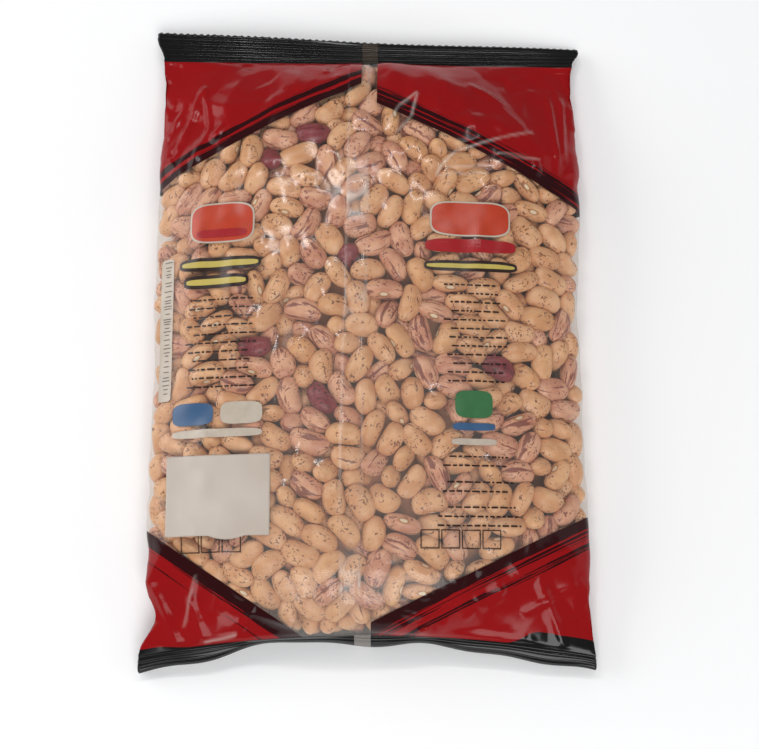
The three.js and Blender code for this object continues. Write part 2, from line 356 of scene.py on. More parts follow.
@dataclass(frozen=True)
class SeedCoat:
    """A bean's dry seed coat: smooth and waxy, so it has a soft broad sheen.

    ground and warm are the two ends of the plain colour, and mark is the colour of the flecks
    and stripes. The hilum is the pale scar on the bean's hollow edge, in its tan ring.
    """

    name: str
    ground: str
    warm: str
    mark: str
    stripes: float
    flecks: float
    boldness: float = 0.84
    ring: str = "a8703c"
    hilum: str = "dfccb0"

    def build(self) -> bpy.types.Material:
        """Makes the material, whose marks follow each bean by its own attributes."""
        material, node = blank_material(self.name)
        local, seed, way = (
            node("Attribute", out="Vector", attribute_name=name)
            for name in ("bean_co", "bean_seed", "bean_way")
        )
        place = node("VectorMath", (local, seed))
        mottle = node("TexNoise", {"Vector": place, "Scale": 0.15, "Detail": 2.0})
        tone = node("MapRange", (mottle, 0.38, 0.62))
        tones = {"Factor": tone, "A": linear(self.ground), "B": linear(self.warm)}
        ground = node("Mix", tones, data_type="RGBA")

        way = node("VectorMath", (way, seed))
        along = node("Mapping", {"Vector": way, "Scale": (0.075, 0.36, 0.36)})
        streak = node(
            "TexNoise",
            {"Vector": along, "Scale": 1.0, "Detail": 4.0, "Roughness": 0.66, "Distortion": 0.35},
        )
        thin = 0.68 - 0.13 * self.stripes
        streaked = node("MapRange", (streak, thin, thin + 0.05))

        speck = node(
            "TexNoise",
            {"Vector": place, "Scale": 0.9, "Detail": 2.0, "Roughness": 0.6, "Distortion": 0.5},
        )
        patch = node("TexNoise", {"Vector": place, "Scale": 0.17, "Detail": 1.0})
        bare = node("Math", (patch, -0.7, 1.03 - 0.085 * self.flecks), operation="MULTIPLY_ADD")
        bare = node("Math", (bare, 0.565), operation="MAXIMUM")
        over = node("Math", (speck, bare), operation="SUBTRACT")
        flecked = node("MapRange", (over, 0.0, 0.04))
        marked = node("Math", (streaked, flecked), operation="MAXIMUM")
        marked = node("Math", (marked, self.boldness), operation="MULTIPLY")

        scar = node(
            "Mapping", {"Vector": local, "Location": (0.0, 2.1, 0.0), "Scale": (0.62, 0.45, 1.25)}
        )
        away = node("VectorMath", (scar,), operation="LENGTH")
        ring = node("MapRange", (away, 1.2, 1.9, 0.85, 0.0))
        eye = node("MapRange", (away, 0.85, 1.0, 1.0, 0.0))
        colour = ground
        for share, tint in ((marked, self.mark), (ring, self.ring), (eye, self.hilum)):
            colour = node("Mix", {"Factor": share, "A": colour, "B": linear(tint)}, data_type="RGBA")

        shader = node(
            "BsdfPrincipled",
            {"Base Color": colour, "Roughness": 0.42, "IOR": 1.47, "Coat Weight": 0.05,
             "Coat Roughness": 0.25, "Subsurface Weight": 0.25,
             "Subsurface Radius": (1.0, 0.55, 0.35), "Subsurface Scale": 0.0015},
        )
        node("OutputMaterial", {"Surface": shader})
        return material


class BeanKind(Enum):
    """The kinds of bean in the bag, each with its seed coat."""

    FLECKED = SeedCoat("bean coat cream flecked", "e3b48b", "d29b6f", "683526", 0.4, 0.62)
    STRIPED = SeedCoat("bean coat rose striped", "deac8d", "c88c71", "743430", 1.0, 0.8)
    PLAIN = SeedCoat("bean coat plain tan", "e1b083", "cf986a", "6a3420", 0.0, 0.5)
    WINE = SeedCoat("bean coat wine red", "7a2430", "8e3e46", "3c0d14", 0.5, 0.4)


@dataclass(frozen=True)
class ShadedBeans:
    """The beans too deep to make out: seed coats in shade, so it is a matt uneven brown."""

    name: str = "bean coat in shade"
    lit: str = "c98e64"
    dim: str = "945838"

    def build(self) -> bpy.types.Material:
        """Makes the material, mottled at the size of a bean."""
        material, node = blank_material(self.name)
        bean = node("TexVoronoi", {"Vector": node("TexCoord", out="Object"), "Scale": 90.0})
        tones = {"Factor": bean, "A": linear(self.lit), "B": linear(self.dim)}
        shade = node("Mix", tones, data_type="RGBA")
        shader = node("BsdfPrincipled", {"Base Color": shade, "Roughness": 0.7})
        node("OutputMaterial", {"Surface": shader})
        return material


@dataclass(frozen=True)
class BrushedSide:
    """One slanted side of the print's window, with the dark brush strokes beside it.

    The window is on the right of the way from start to end. strokes says how far out of the
    window each stroke starts or ends, and the share of dark brush hairs from there on.
    """

    start: tuple[float, float]
    end: tuple[float, float]
    strokes: tuple[tuple[float, float], ...]


@dataclass(frozen=True)
class PrintLayout:
    """Where the print lies on the bag, seen from above: red corners round a clear window."""

    sides: tuple[BrushedSide, ...] = (
        BrushedSide(
            (-86.0, 61.0), (-1.0, 105.3), ((0, 1), (3.3, 0.25), (5.0, 1), (7.4, 0.2), (8.2, 0))
        ),
        BrushedSide(
            (-1.0, 96.9), (87.0, 51.7),
            ((0, 1), (1.8, 0.45), (2.6, 1), (4.4, 0.6), (5.4, 1), (6.8, 0.3), (9, 0)),
        ),
        BrushedSide(
            (87.0, -78.1), (-2.0, -121.2), ((0, 1), (4.2, 0.5), (7, 0.1), (9.6, 0.8), (11, 0.3), (12, 0))
        ),
        BrushedSide(
            (-33.0, -119.8), (-86.0, -84.6), ((0, 1), (4.9, 0.4), (5.8, 0), (9.8, 0.6), (10.4, 0))
        ),
    )
    gap_width: float = 6.6
    gap_at: float = -0.45
    gap_lean: float = 0.011


@dataclass(frozen=True)
class PackingFilm:
    """Clear polypropylene film, printed on its inside in red and black and left glossy.

    Bare film is all but see-through where it lies on a bean and has a sharp gloss that whitens at a
    slant. Where it bridges the gap between two beans it is a little milky: partly its own haziness,
    partly painted reflection. More white is painted over it as glare: in clouds towards the foot and
    the middle, in patches and lines on the fin seal, and as highlight lines along some creases, over
    the print too. Printed film is solid colour under the same gloss. The print is laid out in
    millimetres by the UV map.
    """

    name: str = "polypropylene film printed and glossy"
    red: str = "9a1013"
    deep_red: str = "880d10"
    stroke: str = "2c070a"
    black: str = "090807"
    head_gap: str = "3a3026"
    foot_gap: str = "85807a"
    # White of the painted veil: the film's own haziness, painted glare and painted highlights.
    haziness_and_glare: str = "f0e8df"
    stroke_reach: float = 20.0

    def build(self, layout: PrintLayout) -> bpy.types.Material:
        """Makes the material.

        Args:
            layout: Where the print is.

        Returns:
            The material.
        """
        material, node = blank_material(self.name)
        metres = node("UVMap", uv_map="print")
        place = node("VectorMath", {0: metres, "Scale": 1 / MM}, operation="SCALE")
        parts = node("SeparateXYZ", (place,)).node.outputs
        outside, stroke = self.strokes(node, place, layout)
        seal, whitened, bridge = (
            node("Attribute", out="Fac", attribute_name=name)
            for name in ("seal", "whitened", "bridge")
        )
        seal = node("MapRange", (seal, -0.1, 0.1))

        cloud = node("TexNoise", {"Vector": place, "Scale": 0.03, "Detail": 2.0})
        reds = {"Factor": cloud, "A": linear(self.red), "B": linear(self.deep_red)}
        ink = node("Mix", reds, data_type="RGBA")
        # The pale crease lines painted over the ink are painted highlights; the dark strokes are print.
        for share, tint in ((stroke, self.stroke), (whitened, self.haziness_and_glare)):
            ink = node("Mix", {"Factor": share, "A": ink, "B": linear(tint)}, data_type="RGBA")
        middle = node("Math", (parts["Y"], layout.gap_lean, layout.gap_at), operation="MULTIPLY_ADD")
        bare = node("Math", (parts["X"], middle, layout.gap_width / 2), operation="COMPARE")
        headward = node("Math", (parts["Y"], 0.0), operation="GREATER_THAN")
        gaps = {"Factor": headward, "A": linear(self.foot_gap), "B": linear(self.head_gap)}
        gap = node("Mix", gaps, data_type="RGBA")
        band = node("Mix", {"Factor": bare, "A": linear(self.black), "B": gap}, data_type="RGBA")
        printed = node("MapRange", (outside, -0.12, 0.2))
        printed = node("Math", (printed, bare), operation="SUBTRACT", use_clamp=True)

        facing = node("LayerWeight", {"Blend": 0.5}, out="Facing")
        slant = node("Math", (facing, 3.0), operation="POWER")
        gloss = node("Math", (slant, 0.32, 0.022), operation="MULTIPLY_ADD")
        # Painted glare: a white veil in clouds, stronger towards the foot and the middle of the bag.
        footward = node("MapRange", (parts["Y"], 70.0, -115.0, 0.01, 0.16))
        off_middle = node("Math", (parts["X"],), operation="ABSOLUTE")
        midmost = node("MapRange", (off_middle, 35.0, 80.0, 1.0, 0.15))
        painted_glare = node("Math", (footward, midmost), operation="MULTIPLY")
        milky = node("Math", (painted_glare, cloud), operation="MULTIPLY")
        # The white veil: the film's own haziness and painted reflection where it stands off the beans,
        # painted highlights on the fin seal, the painted glare and the painted crease highlights.
        veil = node("Math", (bridge, 0.028, milky), operation="MULTIPLY_ADD")
        veil = node("Math", (veil, whitened), operation="ADD", use_clamp=True)

        clear = node("BsdfTransparent", {"Color": linear("fbf9f6")})
        # White diffuse coat of the veil: film haziness, painted glare and painted highlights.
        haziness_and_glare_coat = node("BsdfDiffuse", {"Color": linear(self.haziness_and_glare)})
        sheen = node("BsdfGlossy", {"Roughness": 0.11})
        inked = node(
            "BsdfPrincipled",
            {"Base Color": ink, "Roughness": 0.16, "IOR": 1.5, "Specular IOR Level": 0.18},
        )
        crimped = node(
            "BsdfPrincipled",
            {"Base Color": band, "Roughness": 0.15, "IOR": 1.5, "Specular IOR Level": 0.36},
        )
        surface = clear
        for share, coat in ((veil, haziness_and_glare_coat), (gloss, sheen), (printed, inked), (seal, crimped)):
            surface = node("MixShader", (share, surface, coat))
        node("OutputMaterial", {"Surface": surface})
        return material

    def strokes(
        self, node: Callable, place: bpy.types.NodeSocket, layout: PrintLayout
    ) -> list[bpy.types.NodeSocket]:
        """The print's edge and the dark brush strokes along it.

        Args:
            node: Adds a node to the material's tree.
            place: The point in millimetres.
            layout: Where the print is.

        Returns:
            How far the point is out of the window, and how dark its stroke is.
        """
        edges, darks = [], []
        for side in layout.sides:
            run = Vector((side.end[0] - side.start[0], side.end[1] - side.start[1], 0)).normalized()
            away = Vector((-run.y, run.x, 0))
            outward = (math.copysign(1, side.start[0] + side.end[0]), 0, 0)
            along, reach, own = (
                node("VectorMath", (place, way), operation="DOT_PRODUCT")
                for way in (run, away, outward)
            )
            own = node("Math", (own, 0.0), operation="GREATER_THAN")
            past = node("Math", (reach, away.dot(Vector((*side.start, 0)))), operation="SUBTRACT")
            brushed = node("CombineXYZ", (along, past))
            hairs = node("Mapping", {"Vector": brushed, "Scale": (0.035, 0.85, 1.0)})
            streak = node(
                "TexNoise", {"Vector": hairs, "Scale": 1.0, "Detail": 5.0, "Roughness": 0.65}
            )
            ragged = node("Math", (streak, 2.6, -1.3), operation="MULTIPLY_ADD")
            edge = node("Math", (past, ragged), operation="ADD")
            dark = node("ValToRGB", (node("MapRange", (edge, 0.0, self.stroke_reach)),))
            stops = dark.node.color_ramp
            stops.interpolation = "CONSTANT"
            stops.elements.remove(stops.elements[1])
            stops.elements[0].color = (side.strokes[0][1],) * 3 + (1,)
            for distance, darkness in side.strokes[1:]:
                stops.elements.new(distance / self.stroke_reach).color = (darkness,) * 3 + (1,)
            fine = node("Mapping", {"Vector": brushed, "Scale": (0.02, 1.5, 1.0)})
            hair = node("TexNoise", {"Vector": fine, "Scale": 1.0, "Detail": 2.0})
            hair = node("MapRange", (hair, 0.34, 0.66, 0.06, 0.94))
            over = node("Math", (dark, hair), operation="SUBTRACT")
            drawn = node("MapRange", (over, -0.05, 0.05))
            inside = node("Math", (past, -0.4), operation="GREATER_THAN")
            kept = node("Math", (drawn, inside), operation="MULTIPLY")
            darks.append(node("Math", (kept, own), operation="MULTIPLY"))
            soft = node("Math", (ragged, 0.45, past), operation="MULTIPLY_ADD")
            most = node("Math", (own, 200.0, -100.0), operation="MULTIPLY_ADD")
            edges.append(node("Math", (soft, most), operation="MINIMUM"))
        return [
            reduce(lambda one, other: node("Math", (one, other), operation="MAXIMUM"), found)
            for found in (edges, darks)
        ]


class Ink(Enum):
    """The flexographic inks of the small print, thin and satin on the film, by colour."""

    DARK = "2a1710"
    YELLOW = "c9b45a"
    ORANGE = "c23c1c"
    RED = "a8141c"
    PALE = "c8baa9"
    BROWN = "6e5a4c"
    BLUE = "3c5f86"
    GREEN = "3c7446"

    def build(self) -> bpy.types.Material:
        """Makes the ink, a little uneven where it was laid thin."""
        material, node = blank_material(f"flexographic ink {self.name.lower()}")
        thin = node("TexNoise", {"Vector": node("TexCoord", out="Object"), "Scale": 240.0, "Detail": 3.0})
        full = linear(self.value)
        tones = {"Factor": thin, "A": full, "B": tuple(c * 0.72 for c in full)}
        laid = node("Mix", tones, data_type="RGBA")
        shader = node("BsdfPrincipled", {"Base Color": laid, "Roughness": 0.3, "IOR": 1.5})
        node("OutputMaterial", {"Surface": shader})
        return material


@dataclass(frozen=True)
class LabelPaper:
    """Uncoated label paper, die cut: matt, off white and a little fibrous."""

    name: str = "label paper uncoated"
    shade: str = "b3a598"
    light: str = "ccc1b6"

    def build(self) -> bpy.types.Material:
        """Makes the material, with fibres of about a millimetre."""
        material, node = blank_material(self.name)
        place = node("TexCoord", out="Object")
        fibre = node("TexNoise", {"Vector": place, "Scale": 900.0, "Detail": 3.0})
        # Uneven paper tone in clouds, which also stands in for painted light: soft bright spots like the
        # beans pressing up under the label.
        cloud = node("TexNoise", {"Vector": place, "Scale": 45.0, "Detail": 2.0})
        tones = {"Factor": cloud, "A": linear(self.shade), "B": linear(self.light)}
        tint = node("Mix", tones, data_type="RGBA")
        bump = node("Bump", {"Height": fibre, "Strength": 0.15, "Distance": 0.0002})
        shader = node(
            "BsdfPrincipled",
            {"Base Color": tint, "Roughness": 0.55, "Normal": bump, "Coat Weight": 0.1},
        )
        node("OutputMaterial", {"Surface": shader})
        return material


@dataclass
class BeanHeap:
    """The beans that fill the bag, packed as rods of three balls and pressed to the film.

    The balls are packed in a space that is stretched upwards, which lays every bean flat: once
    the stretch is taken out, a bean is thinner than it is wide.
    """

    form: BagForm
    length: float = 15.0
    width: float = 10.0
    thickness: float = 7.8
    share_full: float = 0.9
    bedding: float = 0.93
    seed: int = 7
    rounds: int = 280
    film_layers: float = 12.0
    core_depth: float = 7.5
    film_room: float = 0.15
    table_room: float = 0.6
    wine_places: tuple[tuple[float, float], ...] = ((-27, 82), (-36, 73), (-11, 29), (58, -22))
    centres: Array = field(init=False)
    axes: Array = field(init=False)
    sizes: Array = field(init=False)

    @property
    def stretch(self) -> float:
        """How much the packing space is stretched upwards."""
        return self.width / self.thickness

    def walls(self, points: Array, radii: Array) -> tuple[Array, Array]:
        """How deep balls are in the film, and the way back in.

        Args:
            points: The balls' centres in the stretched space.
            radii: Their radii.

        Returns:
            Each ball's clearance to the back and the front film, which is negative inside the
            film, and the two inward directions.
        """
        step = 0.5
        x, y = points[..., 0], points[..., 1]
        clear, inward = [], []
        for surface, sign in ((self.form.back, 1), (self.form.front, -1)):
            def height(px: Array, py: Array) -> Array:
                """How high the film is over places seen from above, in the stretched space."""
                across, along = self.form.locate(px, py)
                place = np.clip(across, -0.995, 0.995), np.clip(along, -0.995, 0.995)
                return surface(*place)[..., 2] * self.stretch

            here = height(x, y)
            slope_x = (height(x + step, y) - height(x - step, y)) / (2 * step)
            slope_y = (height(x, y + step) - height(x, y - step)) / (2 * step)
            outward = np.stack([-sign * slope_x, -sign * slope_y, sign * np.ones_like(x)], -1)
            outward /= np.linalg.norm(outward, axis=-1, keepdims=True)
            gap = sign * (here - points[..., 2]) * np.abs(outward[..., 2]) - self.film_room - radii
            clear.append(gap)
            inward.append(-outward)
        return np.stack(clear), np.stack(inward)

    def keep_inside(self, points: Array) -> None:
        """Moves balls' centres back from the bag's sides, ends and empty corners."""
        across, along = self.form.locate(points[..., 0], points[..., 1])
        half = self.form.half_width(np.clip(along, -1, 1), points[..., 0])
        points[..., 0] = np.clip(points[..., 0], -(half - 3.6), half - 3.6)
        ends = (self.form.head_line_at - self.form.foot_line_at) / 2
        points[..., 1] += (np.clip(along, -0.955, 0.955) - along) * ends
        full = np.where(along < 0, 1.13, 1.04)
        past = np.maximum(0, np.abs(along) + 0.48 * np.abs(across) - full)
        points[..., 0] -= np.sign(points[..., 0]) * past * 45
        points[..., 1] -= np.sign(along) * past * 70

    def pack(self) -> None:
        """Places the beans: they swell from half size while overlaps are pushed apart."""
        rng = np.random.default_rng(self.seed)
        grid_x, grid_y = np.meshgrid(np.arange(-88, 89, 2.0), np.arange(-126, 118, 2.0))
        across, along = self.form.locate(grid_x, grid_y)
        inside = (np.abs(across) < 0.97) & (np.abs(along) < 0.97)
        spot = np.clip(across, -1, 1), np.clip(along, -1, 1)
        top, bottom = self.form.back(*spot)[..., 2], self.form.front(*spot)[..., 2]
        depth = np.where(inside, np.maximum(0, top - bottom - 3), 0)
        volume = depth.sum() * 4
        bean = math.pi / 6 * self.length * self.width * self.thickness
        count = int(volume * self.share_full / bean)

        chosen = rng.choice(depth.size, count, p=(depth / depth.sum()).ravel())
        x = grid_x.ravel()[chosen] + rng.uniform(-1, 1, count)
        y = grid_y.ravel()[chosen] + rng.uniform(-1, 1, count)
        level = rng.uniform(0.12, 0.88, count)
        z = (bottom.ravel()[chosen] * (1 - level) + top.ravel()[chosen] * level) * self.stretch
        centres = np.stack([x, y, z], -1)
        turn = rng.uniform(0, 2 * math.pi, count)
        axes = np.stack([np.cos(turn), np.sin(turn), rng.normal(0, 0.35, count)], -1)
        axes /= np.linalg.norm(axes, axis=-1, keepdims=True)

        scale = rng.normal(1.0, 0.06, (count, 3)).clip(0.85, 1.15)
        self.sizes = np.array([self.length, self.width, self.thickness]) * scale
        mid = self.sizes[:, 1] / 2 * self.bedding
        radii = np.stack([mid * 0.9, mid, mid * 0.9], -1)
        reach = self.sizes[:, 0] / 2 * self.bedding - mid * 0.88
        offsets = np.array([-1.0, 0.0, 1.0])

        pairs = None
        for turn_number in range(self.rounds):
            swell = min(1.0, 0.5 + 0.5 * turn_number / (0.62 * self.rounds))
            spread = offsets[None, :, None] * reach[:, None, None] * swell
            balls = centres[:, None] + axes[:, None] * spread
            if turn_number % 8 == 0:
                pairs = self.neighbours(centres)
            first, second = pairs
            push = self.push_apart(balls, radii * swell, first, second)
            balls += push
            clear, inward = self.walls(balls, radii * swell)
            for gap, way in zip(clear, inward):
                balls += way * np.maximum(0, -gap)[..., None] * 0.9
                near = (gap > 0.02) & (gap < 2.2)
                balls -= way * (near * np.minimum(gap, 0.12))[..., None]
            self.keep_inside(balls)
            centres = balls.mean(1)
            axes = balls[:, 2] - balls[:, 0]
            axes[:, 2] *= 0.995
            axes /= np.linalg.norm(axes, axis=-1, keepdims=True)
        self.centres = centres * [1, 1, 1 / self.stretch]
        axes = axes * [1, 1, 1 / self.stretch]
        self.axes = axes / np.linalg.norm(axes, axis=-1, keepdims=True)
        LOG.info("packed %d beans in %.0f cubic centimetres", count, volume / 1000)

    def neighbours(self, centres: Array) -> tuple[Array, Array]:
        """Pairs of beans near enough to touch.

        Args:
            centres: The beans' middles.

        Returns:
            The first and the second bean of each pair.
        """
        reach = self.length * 1.25
        order = np.argsort(centres[:, 1], kind="stable")
        ranked = centres[order]
        ends = np.searchsorted(ranked[:, 1], ranked[:, 1] + reach)
        counts = ends - np.arange(len(order)) - 1
        first = np.repeat(np.arange(len(order)), counts)
        starts = np.repeat(np.cumsum(counts) - counts, counts)
        second = first + 1 + np.arange(len(first)) - starts
        apart = ranked[first] - ranked[second]
        close = (apart**2).sum(-1) < reach**2
        return order[first[close]], order[second[close]]

    def push_apart(self, balls: Array, radii: Array, first: Array, second: Array) -> Array:
        """Moves that part overlapping balls of neighbouring beans.

        Args:
            balls: Three centres for each bean.
            radii: Three radii for each bean.
            first: The first bean of each pair.
            second: The second.

        Returns:
            A move for each ball.
        """
        apart = balls[first][:, :, None] - balls[second][:, None, :]
        distance = np.sqrt((apart**2).sum(-1)) + 1e-9
        overlap = radii[first][:, :, None] + radii[second][:, None, :] - distance
        pair, i, j = np.nonzero(overlap > 0)
        move = apart[pair, i, j] * (0.28 * overlap[pair, i, j] / distance[pair, i, j])[:, None]
        total = len(balls) * 3
        one, two = first[pair] * 3 + i, second[pair] * 3 + j
        pushed = [np.bincount(one, row, total) - np.bincount(two, row, total) for row in move.T]
        return np.stack(pushed, -1).reshape(balls.shape)

    def film_normals(self) -> tuple[Array, Array]:
        """Each bean's way out to the nearest film, and how far off that film is."""
        stretched = self.centres * [1, 1, self.stretch]
        clear, inward = self.walls(stretched, np.zeros(len(stretched)))
        nearest = clear.argmin(0)
        rows = np.arange(len(stretched))
        outward = -inward[nearest, rows] * [1, 1, self.stretch]
        return outward / np.linalg.norm(outward, axis=-1, keepdims=True), clear[nearest, rows]

    def turns(self, rng: np.random.Generator, outward: Array) -> list[Matrix]:
        """Each bean's turn: its flat side to the film, rolled a little, some far over.

        Args:
            rng: Draws the rolls.
            outward: Each bean's way out to the film.

        Returns:
            The turns.
        """
        roll = rng.normal(0, 0.2, len(self.centres))
        tipped = rng.random(len(self.centres)) < 0.3
        roll += tipped * rng.choice([-1, 1], len(self.centres)) * rng.uniform(0.6, 1.2, len(self.centres))
        turned = []
        for axis, out, angle in zip(self.axes, outward, roll):
            long = Vector(axis)
            thick = Vector(out) - long * Vector(out).dot(long)
            thick = thick.normalized() if thick.length > 0.1 else long.orthogonal().normalized()
            wide = thick.cross(long)
            turned.append(Matrix.Rotation(angle, 3, long) @ Matrix((long, wide, thick)).transposed())
        return turned

    def lift_off_table(self, turned: Sequence[Matrix]) -> None:
        """Raises the beans that would reach through the film that lies on the table."""
        upward = np.array([[turn[2][k] for k in range(3)] for turn in turned])
        reach = np.sqrt(((upward * self.sizes / 2) ** 2).sum(-1))
        self.centres[:, 2] = np.maximum(self.centres[:, 2], reach + self.table_room)

    def kinds(self, rng: np.random.Generator) -> Array:
        """Which kind each bean is, with the wine red ones at their places under the film.

        Args:
            rng: Draws the kinds.

        Returns:
            Each bean's place in BeanKind.
        """
        kind = rng.choice(3, len(self.centres), p=[0.5, 0.33, 0.17])
        wine = list(BeanKind).index(BeanKind.WINE)
        kind[rng.random(len(self.centres)) < 0.012] = wine
        for x, y in self.wine_places:
            aim = np.array([x, y, self.form.body_height - 4])
            kind[np.argmin(((self.centres - aim) ** 2).sum(-1))] = wine
        return kind

    def build(self) -> list[bpy.types.Object]:
        """Makes the beans near the film, one piece for each kind.

        Returns:
            The pieces.
        """
        self.pack()
        rng = np.random.default_rng(self.seed + 1)
        outward, depth = self.film_normals()
        turned = self.turns(rng, outward)
        self.lift_off_table(turned)
        kind = self.kinds(rng)
        shape = rng.integers(0, len(BeanShape), len(self.centres))
        nominal = np.array([self.length, self.width, self.thickness])
        turn = np.array([matrix.to_euler() for matrix in turned])
        tree = bean_tree()
        pieces = []
        for number, bean_kind in enumerate(BeanKind):
            chosen = (depth < self.film_layers) & (kind == number)
            traits = {
                "shape": ("INT", shape[chosen]),
                "turn": ("FLOAT_VECTOR", turn[chosen]),
                "size": ("FLOAT_VECTOR", self.sizes[chosen] / nominal),
            }
            shapes = [bean_shape.build(nominal) for bean_shape in BeanShape]
            name = f"beans_{bean_kind.name.lower()}"
            coat = bean_kind.value.build()
            piece = scattered(name, tree, self.centres[chosen], traits, shapes, coat, Seed=number)
            fit(piece, Slot.BEAN_COAT, "bean_bag")
            pieces.append(piece)
        return pieces

    def core(self) -> bpy.types.Object:
        """The beans too deep to see, as one smooth lump under the layers that show."""
        rows, columns = 40, 56
        along = np.linspace(-0.86, 0.86, rows)[:, None]
        angle = np.linspace(0, 2 * math.pi, columns, endpoint=False)[None, :]
        across = 0.84 * np.cos(angle) * crown(along, 8, 0.5)
        across, along = np.broadcast_arrays(across, along)
        top, bottom = self.form.back(across, along), self.form.front(across, along)
        middle, half = (top[..., 2] + bottom[..., 2]) / 2, (top[..., 2] - bottom[..., 2]) / 2
        lift = np.sin(np.broadcast_to(angle, across.shape))
        points = top.copy()
        points[..., 2] = middle + lift * np.maximum(half - self.core_depth, 0.5)
        index = np.arange(rows * columns).reshape(rows, columns)
        faces = [*tube_faces(index).tolist(), index[0, ::-1].tolist(), index[-1].tolist()]
        mesh = mesh_of("bean_core", points.reshape(-1, 3), faces, False)
        piece = piece_of("bean_core", mesh, ShadedBeans().build())
        fit(piece, Slot.BEAN_COAT, "bean_bag")
        return piece


class BeanShape(Enum):
    """The bean's forms: how far it bends, how flat its hollow side is and how full its ends are."""

    KIDNEY = (0.9, 0.16, 2.3)
    OVAL = (0.35, 0.06, 2.15)
    PLUMP = (0.55, 0.1, 2.6)

    def build(self, nominal: Array) -> bpy.types.Object:
        """Makes one bean to be repeated.

        Args:
            nominal: Its length, width and thickness.

        Returns:
            The bean, with each point's own place in millimetres kept as an attribute.
        """
        bend, hollow, fullness = self.value
        around, rings = 16, 12
        length, width, thickness = nominal / 2
        t = np.sin(np.linspace(-math.pi / 2, math.pi / 2, rings + 1)[1:-1])[:, None]
        angle = np.linspace(0, 2 * math.pi, around, endpoint=False)[None, :]
        radius = (1 - np.abs(t) ** fullness) ** (1 / fullness)
        flat = np.where(np.cos(angle) < 0, 1 - hollow * (1 - t**2), 1)
        x = length * t + 0 * angle
        y = width * radius * np.cos(angle) * flat - bend * (t**2 - 0.33)
        z = thickness * radius * np.sin(angle)
        body = np.stack([x, y, z], -1).reshape(-1, 3)
        tips = np.array([[-length, -bend * 0.67, 0], [length, -bend * 0.67, 0]])
        points = np.vstack([body, tips])
        index = np.arange((rings - 1) * around).reshape(rings - 1, around)
        faces = tube_faces(index)[:, [0, 3, 2, 1]].tolist()
        low, high = len(body), len(body) + 1
        faces += [[low, a, b] for a, b in zip(index[0], np.roll(index[0], -1))]
        faces += [[high, b, a] for a, b in zip(index[-1], np.roll(index[-1], -1))]
        mesh = mesh_of(f"bean_{self.name.lower()}", points, faces)
        add_attribute(mesh, "bean_co", "FLOAT_VECTOR", points)
        spread = np.stack([x, width * np.cos(angle) + 0 * t, thickness * np.sin(angle) + 0 * t], -1)
        add_attribute(mesh, "bean_way", "FLOAT_VECTOR", np.vstack([spread.reshape(-1, 3), tips]))
        return bpy.data.objects.new(mesh.name, mesh)


def add_attribute(mesh: bpy.types.Mesh, name: str, kind: str, values: Array) -> None:
    """Gives each point of a mesh a value.

    Args:
        mesh: The mesh.
        name: The attribute's name.
        kind: Its data type.
        values: One row for each point.
    """
    attribute = mesh.attributes.new(name, kind, "POINT")
    key = "vector" if kind == "FLOAT_VECTOR" else "value"
    attribute.data.foreach_set(key, np.asarray(values).ravel())


def gather(name: str, members: Iterable[bpy.types.Object]) -> bpy.types.Collection:
    """Puts objects in a new collection, in their order."""
    collection = bpy.data.collections.new(name)
    for number, member in enumerate(members):
        member.name = f"{number}_{member.name}"
        collection.objects.link(member)
    return collection


def new_tree(name: str, **inputs: str) -> tuple[bpy.types.NodeTree, Callable, Sequence]:
    """A new geometry tree.

    Args:
        name: The tree's name.
        inputs: The kind of each input beside the geometry, by name.

    Returns:
        The tree, add_node for it, and the sockets of its inputs.
    """
    tree = bpy.data.node_groups.new(name, "GeometryNodeTree")
    for label, kind in {"Geometry": "Geometry", **inputs}.items():
        tree.interface.new_socket(label, in_out="INPUT", socket_type=f"NodeSocket{kind}")
    tree.interface.new_socket("Geometry", in_out="OUTPUT", socket_type="NodeSocketGeometry")
    node = partial(add_node, tree)
    return tree, node, node("NodeGroupInput").node.outputs


def instanced(node: Callable, given: Sequence, **more: bpy.types.NodeSocket) -> bpy.types.NodeSocket:
    """Sets one of the given shapes at each point, by the point's own shape number and size.

    Args:
        node: Adds a node to the tree.
        given: The sockets of the tree's inputs.
        more: Further inputs of the instances.

    Returns:
        The instances.
    """
    shape, size = (
        node("GeometryNodeInputNamedAttribute", {"Name": name}, data_type=kind)
        for name, kind in (("shape", "INT"), ("size", "FLOAT_VECTOR"))
    )
    shapes = node(
        "GeometryNodeCollectionInfo",
        {"Collection": given["Shapes"], "Separate Children": True, "Reset Children": True},
    )
    return node(
        "GeometryNodeInstanceOnPoints",
        {"Points": given["Geometry"], "Instance": shapes, "Pick Instance": True,
         "Instance Index": shape, "Scale": size, **more},
    )


def bean_tree() -> bpy.types.NodeTree:
    """A tree that sets beans at points, each at its own turn.

    Returns:
        The tree, whose inputs are the shapes, their finish and the seed of their markings.
    """
    tree, node, given = new_tree("bean_scatter", Shapes="Collection", Finish="Material", Seed="Int")
    euler = node("GeometryNodeInputNamedAttribute", {"Name": "turn"}, data_type="FLOAT_VECTOR")
    placed = instanced(node, given, Rotation=node("FunctionNodeEulerToRotation", (euler,)))
    marking = node(
        "FunctionNodeRandomValue",
        {"Min": (0.0, 0.0, 0.0), "Max": (900.0, 900.0, 900.0), "Seed": given["Seed"]},
        data_type="FLOAT_VECTOR",
    )
    marked = node(
        "GeometryNodeStoreNamedAttribute",
        {"Geometry": placed, "Name": "bean_seed", "Value": marking},
        data_type="FLOAT_VECTOR", domain="INSTANCE",
    )
    real = node("GeometryNodeRealizeInstances", {"Geometry": marked})
    coated = node("GeometryNodeSetMaterial", {"Geometry": real, "Material": given["Finish"]})
    node("NodeGroupOutput", {"Geometry": coated})
    return tree


